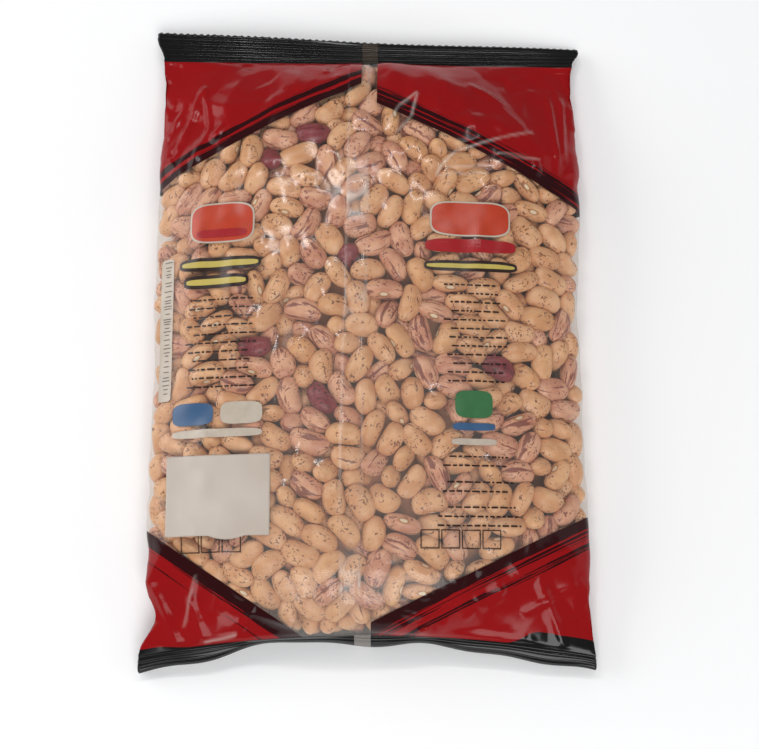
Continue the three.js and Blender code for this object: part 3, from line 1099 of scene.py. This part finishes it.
def grown(base: bpy.types.Mesh, tree: bpy.types.NodeTree, values: dict) -> bpy.types.Mesh:
    """Runs a geometry tree on a mesh.

    Args:
        base: What the tree starts from.
        tree: The tree.
        values: Its inputs by name.

    Returns:
        A plain mesh.
    """
    carrier = bpy.data.objects.new("carrier", base)
    bpy.context.scene.collection.objects.link(carrier)
    modifier = carrier.modifiers.new("grow", "NODES")
    modifier.node_group = tree
    for item in tree.interface.items_tree:
        if item.in_out == "INPUT" and item.name in values:
            modifier[item.identifier] = values[item.name]
    graph = bpy.context.evaluated_depsgraph_get()
    mesh = bpy.data.meshes.new_from_object(
        carrier.evaluated_get(graph), preserve_all_data_layers=True, depsgraph=graph
    )
    carrier.modifiers.clear()
    bpy.data.objects.remove(carrier)
    return mesh


def scattered(
    name: str, tree: bpy.types.NodeTree, places: Array, traits: dict[str, tuple[str, Array]],
    shapes: Sequence[bpy.types.Object], finish: bpy.types.Material, **values: object,
) -> bpy.types.Object:
    """Repeats shapes at points by a geometry tree, as one piece.

    Args:
        name: The piece's name.
        tree: The tree.
        places: The points, in millimetres.
        traits: The data type and the values of each attribute of the points, by name.
        shapes: The shapes, which are removed afterwards.
        finish: The piece's material.
        values: The tree's other inputs by name.

    Returns:
        The piece.
    """
    points = bpy.data.meshes.new("places")
    points.from_pydata((np.asarray(places) * MM).tolist(), [], [])
    for trait, (kind, rows) in traits.items():
        add_attribute(points, trait, kind, rows)
    mesh = grown(points, tree, {"Shapes": gather("shapes", shapes), "Finish": finish, **values})
    for shape in shapes:
        bpy.data.objects.remove(shape)
    return piece_of(name, mesh, finish)


@dataclass(frozen=True)
class Crease:
    """A sharp crease in the film's empty corners, as a low ridge between two points, some with a painted
    highlight line along the fold.
    """

    start: tuple[float, float]
    end: tuple[float, float]
    height: float = 0.8
    reach: float = 2.2
    # How bright the painted highlight line along the fold is; 0 for none.
    glint_strength: float = 0.0
    line_reach: float = 0.9

    def profile(self, x: Array, y: Array, reach: float, fade: float) -> Array:
        """A ridge of height 1 at places seen from above, which fades towards its two ends.

        Args:
            x: The places' first number.
            y: Their second.
            reach: How far the ridge spreads to each side.
            fade: How early it fades.

        Returns:
            The ridge's height.
        """
        run = np.subtract(self.end, self.start)
        length = np.hypot(*run)
        run = run / length
        dx, dy = x - self.start[0], y - self.start[1]
        along = np.clip((dx * run[0] + dy * run[1]) / length, 0, 1)
        away = np.hypot(dx - along * length * run[0], dy - along * length * run[1])
        return np.maximum(0, 1 - away / reach) * np.sin(math.pi * along) ** fade

    def lift(self, x: Array, y: Array) -> Array:
        """The ridge's height at places seen from above."""
        return self.height * self.profile(x, y, self.reach, 0.4)

    def pale(self, x: Array, y: Array) -> Array:
        """How bright the painted highlight line along the fold is at places seen from above."""
        return self.glint_strength * self.profile(x, y, self.line_reach, 0.15)


@dataclass
class FilmTube:
    """The bag's film, drawn over the beans, creased at its corners and crimped at both ends."""

    form: BagForm
    layout: PrintLayout = PrintLayout()
    back_columns: int = 248
    front_columns: int = 80
    body_rows: int = 226
    crimps: int = 5
    rows_per_crimp: int = 5
    tooth_columns: int = 4
    tooth_depth: float = 0.9
    seal_thickness: float = 0.4
    crimp_depth: float = 0.85
    fin_width: float = 8.2
    fin_lift: float = 0.7
    fin_haze: float = 1.2
    cling: float = 2.2
    clearance: float = 0.3
    drape_steps: int = 42
    relax_steps: int = 5
    crease_seed: int = 11
    creases: tuple[Crease, ...] = (
        Crease((-70, 108), (-83, 70), 1.1, 2.4),
        Crease((-70, 108), (-66, 80), 0.9, 2.0),
        Crease((-78, 100), (-86, 84), 0.8, 2.0),
        Crease((-66, 92), (-74, 64), 0.8, 2.2),
        Crease((77, 108), (80, 62), 0.9, 2.0),
        Crease((83, 104), (82, 74), 0.9, 2.0),
        Crease((42, 106), (58, 96), 0.8, 2.2),
        Crease((20.9, 99.5), (13, 93), 0.7, 2.0, 0.3),
        Crease((20.9, 99.5), (18.2, 88), 0.7, 2.0, 0.3),
        Crease((13, 93), (7, 81), 0.4, 1.4, 0.22),
        Crease((18.2, 88), (12, 80), 0.4, 1.4, 0.22),
        Crease((28, 61), (31, 66), 0.6, 1.4, 0.4),
        Crease((31, 66), (36.5, 72), 0.6, 1.4, 0.4),
        Crease((36.5, 72), (56, 79.5), 0.7, 1.6, 0.3),
        Crease((56, 79.5), (69.6, 83.7), 0.7, 1.6, 0.2),
        Crease((31.6, 64.3), (52.4, 66.8), 0.5, 1.4, 0.25),
        Crease((28, 60.6), (50, 63.5), 0.5, 1.4, 0.25),
        Crease((53, 72), (72, 71), 0.6, 1.6, 0.22),
        Crease((-65, -126.5), (-52, -124.2), 0.6, 1.6, 0.35),
        Crease((-68, -101), (-73, -121), 0.6, 1.6, 0.18),
        Crease((-60, -112), (-18, -122), 1.0, 2.6),
        Crease((-64, -128), (-72, -104), 1.0, 2.2),
        Crease((-52, -126), (-44, -112), 0.8, 2.0),
        Crease((-85, -104), (-74, -132), 1.1, 2.6),
        Crease((84, -104), (62, -116), 0.9, 2.4),
        Crease((80, -132), (70, -104), 0.9, 2.2),
        Crease((12, -127), (25.5, -124.5), 0.9, 2.0),
        Crease((25.5, -124.5), (40, -130), 0.9, 2.0),
        Crease((50, -129), (64, -125.5), 1.0, 2.2),
        Crease((64, -125.5), (72, -132), 1.0, 2.2),
    )
    skin: BVHTree = field(init=False)

    def fin_line(self, y: Array) -> Array:
        """Centre line of the fin seal, which wanders a little."""
        return -5 + 1.5 * np.sin(y / 60)

    def columns(self, even: float) -> tuple[Array, Array]:
        """Places across the back and the front.

        Args:
            even: From 0, equal steps on the round body, to 1, equal steps across the flat seal.

        Returns:
            Places across the back from left to right, and under the front from right to left
            without the two sides.
        """
        fine = np.linspace(-1, 1, 4001)
        places = []
        for surface, count in ((self.form.back, self.back_columns), (self.form.front, self.front_columns)):
            line = surface(fine, np.zeros_like(fine))
            length = np.concatenate([[0], np.cumsum(np.linalg.norm(np.diff(line, axis=0), axis=1))])
            by_length = np.interp(np.linspace(0, length[-1], count + 1), length, fine)
            places.append(by_length * (1 - even) + np.linspace(-1, 1, count + 1) * even)
        return places[0], places[1][-2:0:-1]

    def body_grid(self) -> tuple[Array, Array, Array]:
        """The smooth body as closed rings of points, with each point's across and along."""
        over, under = self.columns(0)
        along = np.sin(np.linspace(-1, 1, self.body_rows + 1) * 0.95) / math.sin(0.95)
        rows = []
        for surface, across in ((self.form.back, over), (self.form.front, under)):
            rows.append(surface(*np.broadcast_arrays(across[None, :], along[:, None])))
        across = np.broadcast_to(np.concatenate([over, under]), (len(along), len(over) + len(under)))
        return np.concatenate(rows, 1), across, np.broadcast_to(along[:, None], across.shape)

    def normals(self, grid: Array) -> Array:
        """Outward direction at each point of closed rings."""
        around = np.roll(grid, -1, 1) - np.roll(grid, 1, 1)
        ahead = np.gradient(grid, axis=0)
        normal = np.cross(around, ahead)
        return normal / (np.linalg.norm(normal, axis=-1, keepdims=True) + 1e-12)

    def obstacle(self, grid: Array, normal: Array, beans: Sequence[bpy.types.Object]) -> Array:
        """How far the beans stand out of the smooth form at each point.

        Args:
            grid: Points of the smooth form.
            normal: Its outward direction at each.
            beans: The pieces.

        Returns:
            The distances, far below the form where no bean is met.
        """
        points, faces, base = [], [], 0
        for piece in beans:
            mesh = piece.data
            flat = np.empty(len(mesh.vertices) * 3)
            mesh.vertices.foreach_get("co", flat)
            points.append(flat.reshape(-1, 3) / MM)
            faces += [[base + v for v in face.vertices] for face in mesh.polygons]
            base += len(mesh.vertices)
        tree = BVHTree.FromPolygons(np.vstack(points).tolist(), faces)
        start = 7.0
        out = np.full(grid.shape[:2], -9.0)
        for row, column in np.ndindex(out.shape):
            way = normal[row, column]
            hit = tree.ray_cast(Vector(grid[row, column] + way * start), Vector(-way), start + 6)
            if hit[0] is not None:
                out[row, column] = start - hit[3]
        return out

    def drape(self, obstacle: Array, across: Array, along: Array, back: Array) -> Array:
        """How far the film stands out of the smooth form once it is drawn over the beans.

        Args:
            obstacle: How far the beans stand out.
            across: Each point's place across.
            along: Each point's place along.
            back: Whether each point is on the back.

        Returns:
            The film's offset from the smooth form.
        """
        slack = 1 - smoothstep(np.abs(along) + 0.48 * np.abs(across), 0.9, 1.04)
        floor = np.where(back, -self.cling * slack, 0.0)
        spread = np.pad(obstacle, ((1, 1), (0, 0)), mode="edge")
        spread = np.max([spread[2:], spread[1:-1], spread[:-2]], axis=0)
        spread = np.max([np.roll(spread, 1, 1), spread, np.roll(spread, -1, 1)], axis=0)
        limit = np.clip(spread + self.clearance, floor, 6.0)
        limit[0] = limit[-1] = 0
        offset = limit.copy()
        for step in range(self.drape_steps + self.relax_steps):
            kept = limit if step < self.drape_steps else obstacle + self.clearance / 2
            offset = np.maximum(kept, neighbour_mean(offset, True))
            offset[0] = offset[-1] = 0
        return offset

    def crumple(self, grid: Array, spacing: float, depth: float, seed: int) -> Array:
        """Flat facets with sharp edges between, like film that has been folded and pulled out.

        Args:
            grid: Points of the film.
            spacing: How far apart the facets' corners are.
            depth: How far the corners stand in or out.
            seed: The seed of their places.

        Returns:
            The facets' height at each point, seen from above.
        """
        rng = np.random.default_rng(seed)
        xs, ys = np.arange(-110, 111, spacing), np.arange(-160, 161, spacing)
        x, y = (a.ravel() for a in np.meshgrid(xs, ys))
        corner = np.stack([x, y], -1) + rng.uniform(-0.48, 0.48, (len(x), 2)) * spacing
        height = rng.normal(0, depth, len(x))
        places, _, faces, *_ = delaunay_2d_cdt([Vector(c) for c in corner], [], [], 0, 1e-4)
        tree = BVHTree.FromPolygons([(p.x, p.y, h) for p, h in zip(places, height)], faces)
        flat = grid.reshape(-1, 3)
        found = np.zeros(len(flat))
        for number, (px, py, _) in enumerate(flat):
            hit = tree.ray_cast(Vector((px, py, 50)), Vector((0, 0, -1)))
            found[number] = hit[0].z if hit[0] is not None else 0.0
        return found.reshape(grid.shape[:2])

    def flap(self, grid: Array) -> Array:
        """1 on the folded fin seal and 0 beside it."""
        off = grid[..., 0] - self.fin_line(grid[..., 1])
        return 1 - smoothstep(np.abs(off), self.fin_width / 2 - 0.1, self.fin_width / 2 + 0.75)

    def fin(self, grid: Array, along: Array) -> Array:
        """The fold of the fin seal: a flat flap whose two edges stand up and ripple.

        Args:
            grid: Points of the film.
            along: Each point's place along.

        Returns:
            The fold's height at each point.
        """
        y = grid[..., 1]
        off = grid[..., 0] - self.fin_line(y)
        half = self.fin_width / 2
        ripple = 0.25 * np.sin(y / 7.3 + 1.2 * np.sin(y / 19)) * off / half + 0.12 * np.sin(y / 2.6)
        rim = 0.5 * np.exp(-(((np.abs(off) - half + 0.6) / 0.7) ** 2))
        ends = np.minimum(1, 10 * (1 - np.abs(along)))
        return (self.fin_lift + ripple + rim) * self.flap(grid) * ends

    def fin_haziness_and_glints(self, grid: Array) -> Array:
        """How milky the fin seal is: a little all along as double film, with painted highlight patches
        where it is crinkled and painted highlight lines along its two edges.

        Args:
            grid: Points of the film.

        Returns:
            The milkiness and painted highlights at each point.
        """
        x, y = grid[..., 0], grid[..., 1]
        # Painted highlight patches at three places along the fin, broken up where it is crinkled.
        painted_glare = 20 * hump(y, 53, 9) + 7 * hump(y, 6, 7) + 11 * hump(y, -104, 8)
        crinkle = np.clip(0.5 + self.crumple(grid, 3.2, 0.5, self.crease_seed + 2), 0, 1)
        # Painted highlight lines along the fin's two edges, stronger and weaker along their length.
        edge = 5 * hump(np.abs(x - self.fin_line(y)), self.fin_width / 2, 0.5)
        fin_edge_glints = edge * (0.55 + 0.45 * np.sin(y / 13 + 1.4 * np.sin(y / 29)))
        return self.flap(grid) * (self.fin_haze + painted_glare * crinkle) + fin_edge_glints

    def black_reach(self, across: Array, along: Array, y: Array) -> Array:
        """How far a point of the body is inside the seals' black print, in millimetres."""
        right, left = smoothstep(across, 0.6, 0.76), smoothstep(-across, 0.75, 0.95)
        foot = self.form.foot_line(across) - y + 5.5 * right + 2.0 * left
        return np.where(along < 0, foot, y - self.form.head_line(across) + 1.0)

    def seal_rows(self, seal: Callable, turn: int) -> list[Array]:
        """Rings of one crimped seal, from its inner edge to its saw cut.

        Args:
            seal: The seal's middle, by place across and out.
            turn: 1 at the head and -1 at the foot, the sense in which its upper face turns.

        Returns:
            One ring for each row.
        """
        rings = []
        count = self.crimps * self.rows_per_crimp
        for row in range(1, count + 1):
            out = row / count
            over, under = self.columns(float(smoothstep(out, 0, 0.35)))
            phase = np.arange(len(over)) % self.tooth_columns / self.tooth_columns
            teeth = (1 - np.abs(2 * phase - 1)) * self.tooth_depth / self.form.seal_band
            faces = []
            for across, face in ((over, 1), (under, -1)):
                place = np.full_like(across, out)
                if row == count:
                    place += np.interp(across, over, teeth)
                middle = seal(across, place)
                step = 0.02
                ahead = seal(across, place + step) - seal(across, place - step)
                side = seal(across + step, place) - seal(across - step, place)
                normal = np.cross(side, ahead) * turn
                normal /= np.linalg.norm(normal, axis=-1, keepdims=True)
                ridge = math.cos(2 * math.pi * out * self.crimps) * self.crimp_depth / 2 * (row < count)
                points = middle + normal * (face * self.seal_thickness / 2 + ridge)
                points[:, 2] = np.maximum(points[:, 2], 0.15)
                faces.append(points)
            rings.append(np.concatenate(faces))
        return rings

    def build(self, beans: Sequence[bpy.types.Object]) -> bpy.types.Object:
        """Makes the film over the beans.

        Args:
            beans: The pieces that it is drawn over.

        Returns:
            The film.
        """
        grid, across, along = self.body_grid()
        normal = self.normals(grid)
        back = np.zeros(grid.shape[:2], bool)
        back[:, :self.back_columns + 1] = True
        obstacle = self.obstacle(grid, normal, beans)
        offset = self.drape(obstacle, across, along, back)
        # White veil share: the film's own haziness and painted reflection where it stands off the beans,
        # with the fin seal's painted highlights.
        bridge = np.clip((offset - obstacle - self.clearance) / 2, 0, 1)
        bridge = np.where(back, np.maximum(bridge, self.fin_haziness_and_glints(grid)), bridge)
        black = self.black_reach(across, along, grid[..., 1])
        loose = smoothstep(np.abs(along) + 0.48 * np.abs(across), 0.88, 1.04)
        ends = 1 - smoothstep(np.abs(along), 0.97, 1.0)
        folds = sum(crease.lift(grid[..., 0], grid[..., 1]) for crease in self.creases)
        # Painted highlight lines along some creases, on the back film only.
        lines = [crease.pale(grid[..., 0], grid[..., 1]) for crease in self.creases]
        whitened = np.where(back, np.max(lines, axis=0), 0)
        wrinkle = self.crumple(grid, 14, 0.7, self.crease_seed) * (0.05 + loose) + folds
        wrinkle += self.crumple(grid, 6, 0.28, self.crease_seed + 1) * (0.15 + 0.85 * loose)
        offset += np.where(back, wrinkle * ends + self.fin(grid, along), 0)
        offset[1:-1] = np.maximum(offset, obstacle + self.clearance / 2)[1:-1]
        grid = grid + normal * offset[..., None]
        grid[..., 2] = np.maximum(grid[..., 2], 0.1)
        foot = self.seal_rows(self.form.foot_seal, -1)[::-1]
        head = self.seal_rows(self.form.head_seal, 1)
        rings = np.concatenate([np.stack(foot), grid, np.stack(head)])
        haziness_and_glare_rings = np.zeros(rings.shape[:2])
        haziness_and_glare_rings[len(foot):-len(head)] = bridge
        sealed = np.full(rings.shape[:2], 2.0)
        sealed[len(foot):-len(head)] = black
        crease_glint_rings = np.zeros(rings.shape[:2])
        crease_glint_rings[len(foot):-len(head)] = whitened
        piece = self.mesh(rings, {"bridge": haziness_and_glare_rings, "seal": sealed, "whitened": crease_glint_rings})
        self.skin = BVHTree.FromPolygons(
            rings.reshape(-1, 3).tolist(), [list(face.vertices) for face in piece.data.polygons]
        )
        fit(piece, Slot.CLEAR_FILM, "bean_bag")
        return piece

    def mesh(self, rings: Array, masks: dict[str, Array]) -> bpy.types.Object:
        """Joins closed rings of points to one film, closed at its two saw cuts.

        Args:
            rings: The rings from the foot's cut to the head's.
            masks: Named values of each point, for the material.

        Returns:
            The film, with its print map.
        """
        rows, columns = rings.shape[:2]
        index = np.arange(rows * columns).reshape(rows, columns)
        faces = tube_faces(index).tolist()
        faces += self.lid(index[0], True) + self.lid(index[-1], False)
        flat = rings.reshape(-1, 3)
        mesh = mesh_of("clear_film", flat, faces)
        for name, values in masks.items():
            add_attribute(mesh, name, "FLOAT", values)
        corners = np.empty(len(mesh.loops), int)
        mesh.loops.foreach_get("vertex_index", corners)
        layer = mesh.uv_layers.new(name="print")
        layer.uv.foreach_set("vector", (flat[corners, :2] * MM).ravel())
        return piece_of("clear_film", mesh, PackingFilm().build(self.layout))

    def lid(self, ring: Array, first: bool) -> list[list[int]]:
        """Faces that close one ring, joining its upper and lower edge like a zip.

        Args:
            ring: The ring's point numbers, over the back and then under the front.
            first: Whether it is the first ring, whose faces look the other way.

        Returns:
            Three point numbers for each face.
        """
        over = ring[:self.back_columns + 1].tolist()
        under = [over[0], *ring[self.back_columns + 1:][::-1].tolist(), over[-1]]
        faces = []
        i = j = 0
        while i < len(over) - 1 or j < len(under) - 1:
            ahead = (i + 1) / (len(over) - 1) < (j + 1) / (len(under) - 1)
            third = over[i + 1] if ahead else under[j + 1]
            face = [over[i], third, under[j]]
            if len(set(face)) == 3:
                faces.append(face[::-1] if first else face)
            i, j = (i + 1, j) if ahead else (i, j + 1)
        return faces

    def height(self, x: Array, y: Array) -> Array:
        """How high the film's top is at places seen from above."""
        found = np.zeros(np.shape(x))
        for spot in np.ndindex(found.shape):
            hit = self.skin.ray_cast(Vector((x[spot], y[spot], 90)), Vector((0, 0, -1)))
            found[spot] = hit[0].z
        return found


class PadShape(Enum):
    """The pads of ink: their divisions across and along, and how square their corners are."""

    DASH = (6, 2, 6.0)
    PAD = (26, 24, 4.0)
    STRIP = (6, 96, 24.0)

    def build(self) -> bpy.types.Object:
        """Makes a pad of size 1, whose under and upper side are told apart by an attribute."""
        columns, rows, square = self.value
        u, v = np.meshgrid(np.linspace(-1, 1, columns + 1), np.linspace(-1, 1, rows + 1))
        wide = np.maximum(np.abs(u), np.abs(v)) + 1e-9
        round_off = wide / (np.abs(u) ** square + np.abs(v) ** square + 1e-12) ** (1 / square)
        side = np.stack([u * round_off / 2, v * round_off / 2, 0 * u], -1).reshape(-1, 3).tolist()
        mesh = bpy.data.meshes.new(f"pad_{self.name.lower()}")
        mesh.from_pydata(side + side, [], sheet_faces(*u.shape).tolist())
        add_attribute(mesh, "upper", "FLOAT", np.repeat([0.0, 1.0], len(side)))
        return bpy.data.objects.new(mesh.name, mesh)


@dataclass(frozen=True)
class Mark:
    """One plain shape of the small print, and how many others it lies on."""

    x: float
    y: float
    width: float
    height: float
    ink: Ink
    level: int = 0

    @property
    def shape(self) -> PadShape:
        """The pad that it is made from, by its size."""
        if self.height > 20:
            return PadShape.STRIP
        return PadShape.PAD if self.width > 8 and self.height > 1.5 else PadShape.DASH


@dataclass
class SmallPrint:
    """The small print on the clear film: plain pads and rows of dashes, as thin layers of ink.

    blocks are rows of dashes, by their left end, first row, width and number of rows. frames
    are rows of empty squares, by the first one's middle, their size, number and pitch.
    """

    thickness: float = 0.05
    lift: float = 0.16
    seed: int = 5
    line_pitch: float = 3.6
    dash_height: float = 0.7
    dash_gap: float = 0.6
    frame_line: float = 0.45
    pads: tuple[Mark, ...] = (
        Mark(-59.5, 42, 27, 17, Ink.PALE),
        Mark(-59.5, 42, 25.6, 15.6, Ink.ORANGE, 1),
        Mark(-59.5, 37.5, 21, 3.4, Ink.RED, 2),
        Mark(-60, 24.5, 34, 5.6, Ink.DARK),
        Mark(-60, 24.5, 31.8, 2.6, Ink.YELLOW, 1),
        Mark(-61.5, 17.1, 27, 5.6, Ink.DARK),
        Mark(-61.5, 17.1, 24.8, 2.6, Ink.YELLOW, 1),
        Mark(-70, -37.5, 17, 9, Ink.BLUE),
        Mark(-50, -37.5, 17, 9, Ink.PALE),
        Mark(-60, -45.5, 37, 3.4, Ink.PALE),
        Mark(42, 42.5, 33, 15, Ink.PALE),
        Mark(42, 42.5, 31.6, 13.6, Ink.ORANGE, 1),
        Mark(42, 31, 37, 5.6, Ink.RED),
        Mark(42, 22.5, 38, 4.6, Ink.DARK),
        Mark(42, 22.5, 36, 1.9, Ink.YELLOW, 1),
        Mark(42.5, -34.5, 15, 11, Ink.GREEN),
        Mark(42.5, -43.5, 17, 3, Ink.BLUE),
        Mark(42.5, -49.5, 18, 2.6, Ink.PALE),
    )
    blocks: tuple[tuple[float, float, float, int], ...] = (
        (-74, 9.5, 31, 11), (30, 14.5, 27, 12), (27, -55.5, 34, 2), (27, -65.6, 34, 2), (27, -75.4, 34, 3)
    )
    frames: tuple[tuple[float, float, float, int, float], ...] = (
        (-69.9, -88.9, 7.2, 3, 8.4), (24.7, -87.9, 7.0, 4, 8.1)
    )
    strip: Mark = Mark(-82.4, -1.2, 5.6, 60, Ink.PALE)

    def lines(self, x: float, y: float, width: float, count: int) -> Iterable[Mark]:
        """Rows of dashes, as long and as uneven as words, below one another.

        Args:
            x: The rows' left end.
            y: The first row's height on the bag.
            width: How long the rows are at most.
            count: How many rows there are.

        Returns:
            The dashes.
        """
        rng = np.random.default_rng(self.seed + int(abs(x) * 10 + abs(y)))
        for row in range(count):
            start = x + rng.uniform(0, 0.16) * width
            end = x + width * (1 - rng.uniform(0, 0.16))
            while start < end - 0.8:
                length = min(rng.uniform(0.8, 3.6), end - start)
                middle = start + length / 2
                yield Mark(middle, y - row * self.line_pitch, length, self.dash_height, Ink.DARK)
                start += length + self.dash_gap

    def frame(self, x: float, y: float, size: float) -> Iterable[Mark]:
        """The four thin lines of an empty square frame."""
        half, line = size / 2, self.frame_line
        for side in (-1, 1):
            yield Mark(x, y + side * half, size + line, line, Ink.DARK)
            yield Mark(x + side * half, y, line, size + line, Ink.DARK)

    def edge_strip(self) -> Iterable[Mark]:
        """The pale strip down the bag's side, with short dashes across it."""
        rng = np.random.default_rng(self.seed)
        yield self.strip
        place = self.strip.y + self.strip.height / 2 - 1.5
        while place > self.strip.y - self.strip.height / 2 + 1.5:
            dash = self.strip.width * rng.uniform(0.3, 0.7)
            yield Mark(self.strip.x + 0.4, place, dash, 0.4, Ink.BROWN, 1)
            place -= rng.uniform(1.0, 2.4)

    def marks(self) -> list[Mark]:
        """Every mark of both columns, to the left and the right of the seam."""
        marks = [*self.edge_strip(), *self.pads]
        for block in self.blocks:
            marks += self.lines(*block)
        for x, y, size, count, pitch in self.frames:
            for number in range(count):
                marks += self.frame(x + pitch * number, y, size)
        return marks

    def build(self, film: bpy.types.Object) -> None:
        """Makes the marks on the film, one piece for each ink.

        Args:
            film: The finished film.
        """
        every = self.marks()
        tree = ink_tree()
        for ink in Ink:
            marks = [mark for mark in every if mark.ink is ink]
            rise = [(self.lift + mark.level * 3 * self.thickness) * MM for mark in marks]
            traits = {
                "shape": ("INT", [list(PadShape).index(mark.shape) for mark in marks]),
                "size": ("FLOAT_VECTOR", [(mark.width * MM, mark.height * MM, 1) for mark in marks]),
                "rise": ("FLOAT", rise),
            }
            places = [(mark.x, mark.y, 0) for mark in marks]
            shapes = [shape.build() for shape in PadShape]
            piece = scattered(
                f"ink_{ink.name.lower()}", tree, places, traits, shapes, ink.build(),
                Film=film, Thickness=self.thickness * MM,
            )
            fit(piece, Slot.PRINTED_FILM, "bean_bag")


def ink_tree() -> bpy.types.NodeTree:
    """A tree that lays pads of ink on a film, each at its own size, along the film's surface.

    Returns:
        The tree, whose inputs are the pads, the ink, the film and the thickness of a pad.
    """
    tree, node, given = new_tree(
        "ink_on_film", Shapes="Collection", Finish="Material", Film="Object", Thickness="Float"
    )
    real = node("GeometryNodeRealizeInstances", {"Geometry": instanced(node, given)})
    rise, upper = (
        node("GeometryNodeInputNamedAttribute", {"Name": name}, data_type="FLOAT")
        for name in ("rise", "upper")
    )
    film = node("GeometryNodeObjectInfo", {"Object": given["Film"]}, out="Geometry")
    above = node("VectorMath", (node("GeometryNodeInputPosition"), (0.0, 0.0, 0.09)))
    down = node(
        "GeometryNodeRaycast",
        {"Target Geometry": film, "Source Position": above, "Ray Direction": (0.0, 0.0, -1.0)},
        out="Hit Position",
    )
    thick = node("Math", (upper, given["Thickness"], rise), operation="MULTIPLY_ADD")
    lifted = node("CombineXYZ", {"Z": thick})
    laid = node("GeometryNodeSetPosition", {"Geometry": real, "Position": down, "Offset": lifted})
    inked = node("GeometryNodeSetMaterial", {"Geometry": laid, "Material": given["Finish"]})
    node("NodeGroupOutput", {"Geometry": inked})
    return tree


@dataclass(frozen=True)
class StickyLabel:
    """The blank label: stiffer than the film, so that it only half follows the beans."""

    centre: tuple[float, float] = (-59.0, -70.3)
    width: float = 42.0
    height: float = 32.0
    thickness: float = 0.25
    step: float = 0.8
    lobe: float = 1.5
    smoothing: int = 90

    def build(self, film: FilmTube) -> bpy.types.Object:
        """Makes the label on the film.

        Args:
            film: The finished film.

        Returns:
            The label.
        """
        columns, rows = round(self.width / self.step), round(self.height / self.step)
        u, v = np.meshgrid(np.linspace(-0.5, 0.5, columns + 1), np.linspace(-0.5, 0.5, rows + 1))
        x = self.centre[0] + u * self.width
        y = self.centre[1] + v * self.height
        y -= self.lobe * np.maximum(0, 1 - ((u - 0.09) / 0.17) ** 2) * np.maximum(0, -2 * v) ** 3
        under = film.height(x, y)
        sheet = under.copy()
        for _ in range(self.smoothing):
            sheet = neighbour_mean(sheet)
        sheet = np.maximum(sheet + 0.35, under + 0.15)
        for _ in range(3):
            sheet = np.maximum(neighbour_mean(sheet), under + 0.12)
        flat = np.stack([x, y, sheet], -1).reshape(-1, 3)
        points = np.concatenate([flat, flat + [0, 0, self.thickness]])
        mesh = mesh_of("label_sheet", points, sheet_faces(*u.shape))
        piece = piece_of("label_sheet", mesh, LabelPaper().build())
        fit(piece, Slot.LABEL_PAPER, "paper_label")
        return piece


@dataclass(frozen=True)
class SoftBox:
    """A lamp: where it hangs, how wide and deep it is and how bright its face is."""

    name: str
    place: tuple[float, float, float]
    width: float
    depth: float
    radiance: float

    def build(self) -> None:
        """Hangs the lamp so that it faces the bag."""
        lamp = bpy.data.lights.new(self.name, "AREA")
        lamp.shape = "RECTANGLE"
        lamp.size = self.width * MM
        lamp.size_y = self.depth * MM
        lamp.energy = self.radiance * math.pi * lamp.size * lamp.size_y
        holder = bpy.data.objects.new(self.name, lamp)
        holder.location = Vector(self.place) * MM
        holder.rotation_euler = Vector(self.place).to_track_quat("Z", "Y").to_euler()
        bpy.context.scene.collection.objects.link(holder)


@dataclass(frozen=True)
class Studio:
    """A pale floor, soft light and a camera that looks down on the bag from its foot side."""

    tilt: float = math.radians(12)
    distance: float = 620.0
    aim: tuple[float, float, float] = (5.0, -18.8, 20.0)
    lens: float = 71.7
    sky: float = 0.28
    sky_tint: str = "f2f4f8"
    floor_half: float = 4000.0
    lamps: tuple[SoftBox, ...] = (
        SoftBox("left_softbox", (-1120, 380, 480), 900, 900, 2.8),
        SoftBox("right_softbox", (1150, 60, 470), 900, 900, 0.6),
        SoftBox("foot_softbox", (100, -1000, 1100), 900, 900, 4.7),
        SoftBox("head_spot", (-350, 620, 1300), 120, 120, 28.0),
        SoftBox("head_strip", (0, 700, 1200), 1100, 45, 24.0),
    )

    def build(self) -> None:
        """Makes the floor, the lights and the camera."""
        scene = bpy.context.scene
        scene.view_settings.view_transform = "Standard"
        half = self.floor_half
        corners = np.array([[-half, -half, 0], [half, -half, 0], [half, half, 0], [-half, half, 0]])
        floor = piece_of("floor", mesh_of("floor", corners, [[0, 1, 2, 3]], False), self.floor_finish())
        world = bpy.data.worlds.new("studio")
        world.use_nodes = True
        world.node_tree.nodes["Background"].inputs["Color"].default_value = linear(self.sky_tint)
        world.node_tree.nodes["Background"].inputs["Strength"].default_value = self.sky
        scene.world = world
        for lamp in self.lamps:
            lamp.build()
        camera = bpy.data.objects.new("camera", bpy.data.cameras.new("camera"))
        scene.collection.objects.link(camera)
        away = Vector((0, -math.sin(self.tilt), math.cos(self.tilt))) * self.distance
        camera.location = (Vector(self.aim) + away) * MM
        camera.rotation_euler = Euler((self.tilt, 0, 0))
        camera.data.lens = self.lens
        camera.data.clip_start = 0.01
        scene.camera = camera

    def floor_finish(self) -> bpy.types.Material:
        """Pale matt paper for the floor."""
        material, node = blank_material("studio paper")
        shader = node("BsdfPrincipled", {"Base Color": linear("ffffff"), "Roughness": 0.8})
        node("OutputMaterial", {"Surface": shader})
        return material


def main() -> None:
    """Builds the bag and the studio."""
    logging.basicConfig(level=logging.INFO, format="%(name)s: %(message)s")
    form = BagForm()
    heap = BeanHeap(form)
    beans = heap.build()
    heap.core()
    tube = FilmTube(form)
    film = tube.build(beans)
    SmallPrint().build(film)
    StickyLabel().build(tube)
    Studio().build()


if __name__ == "__main__":
    main()
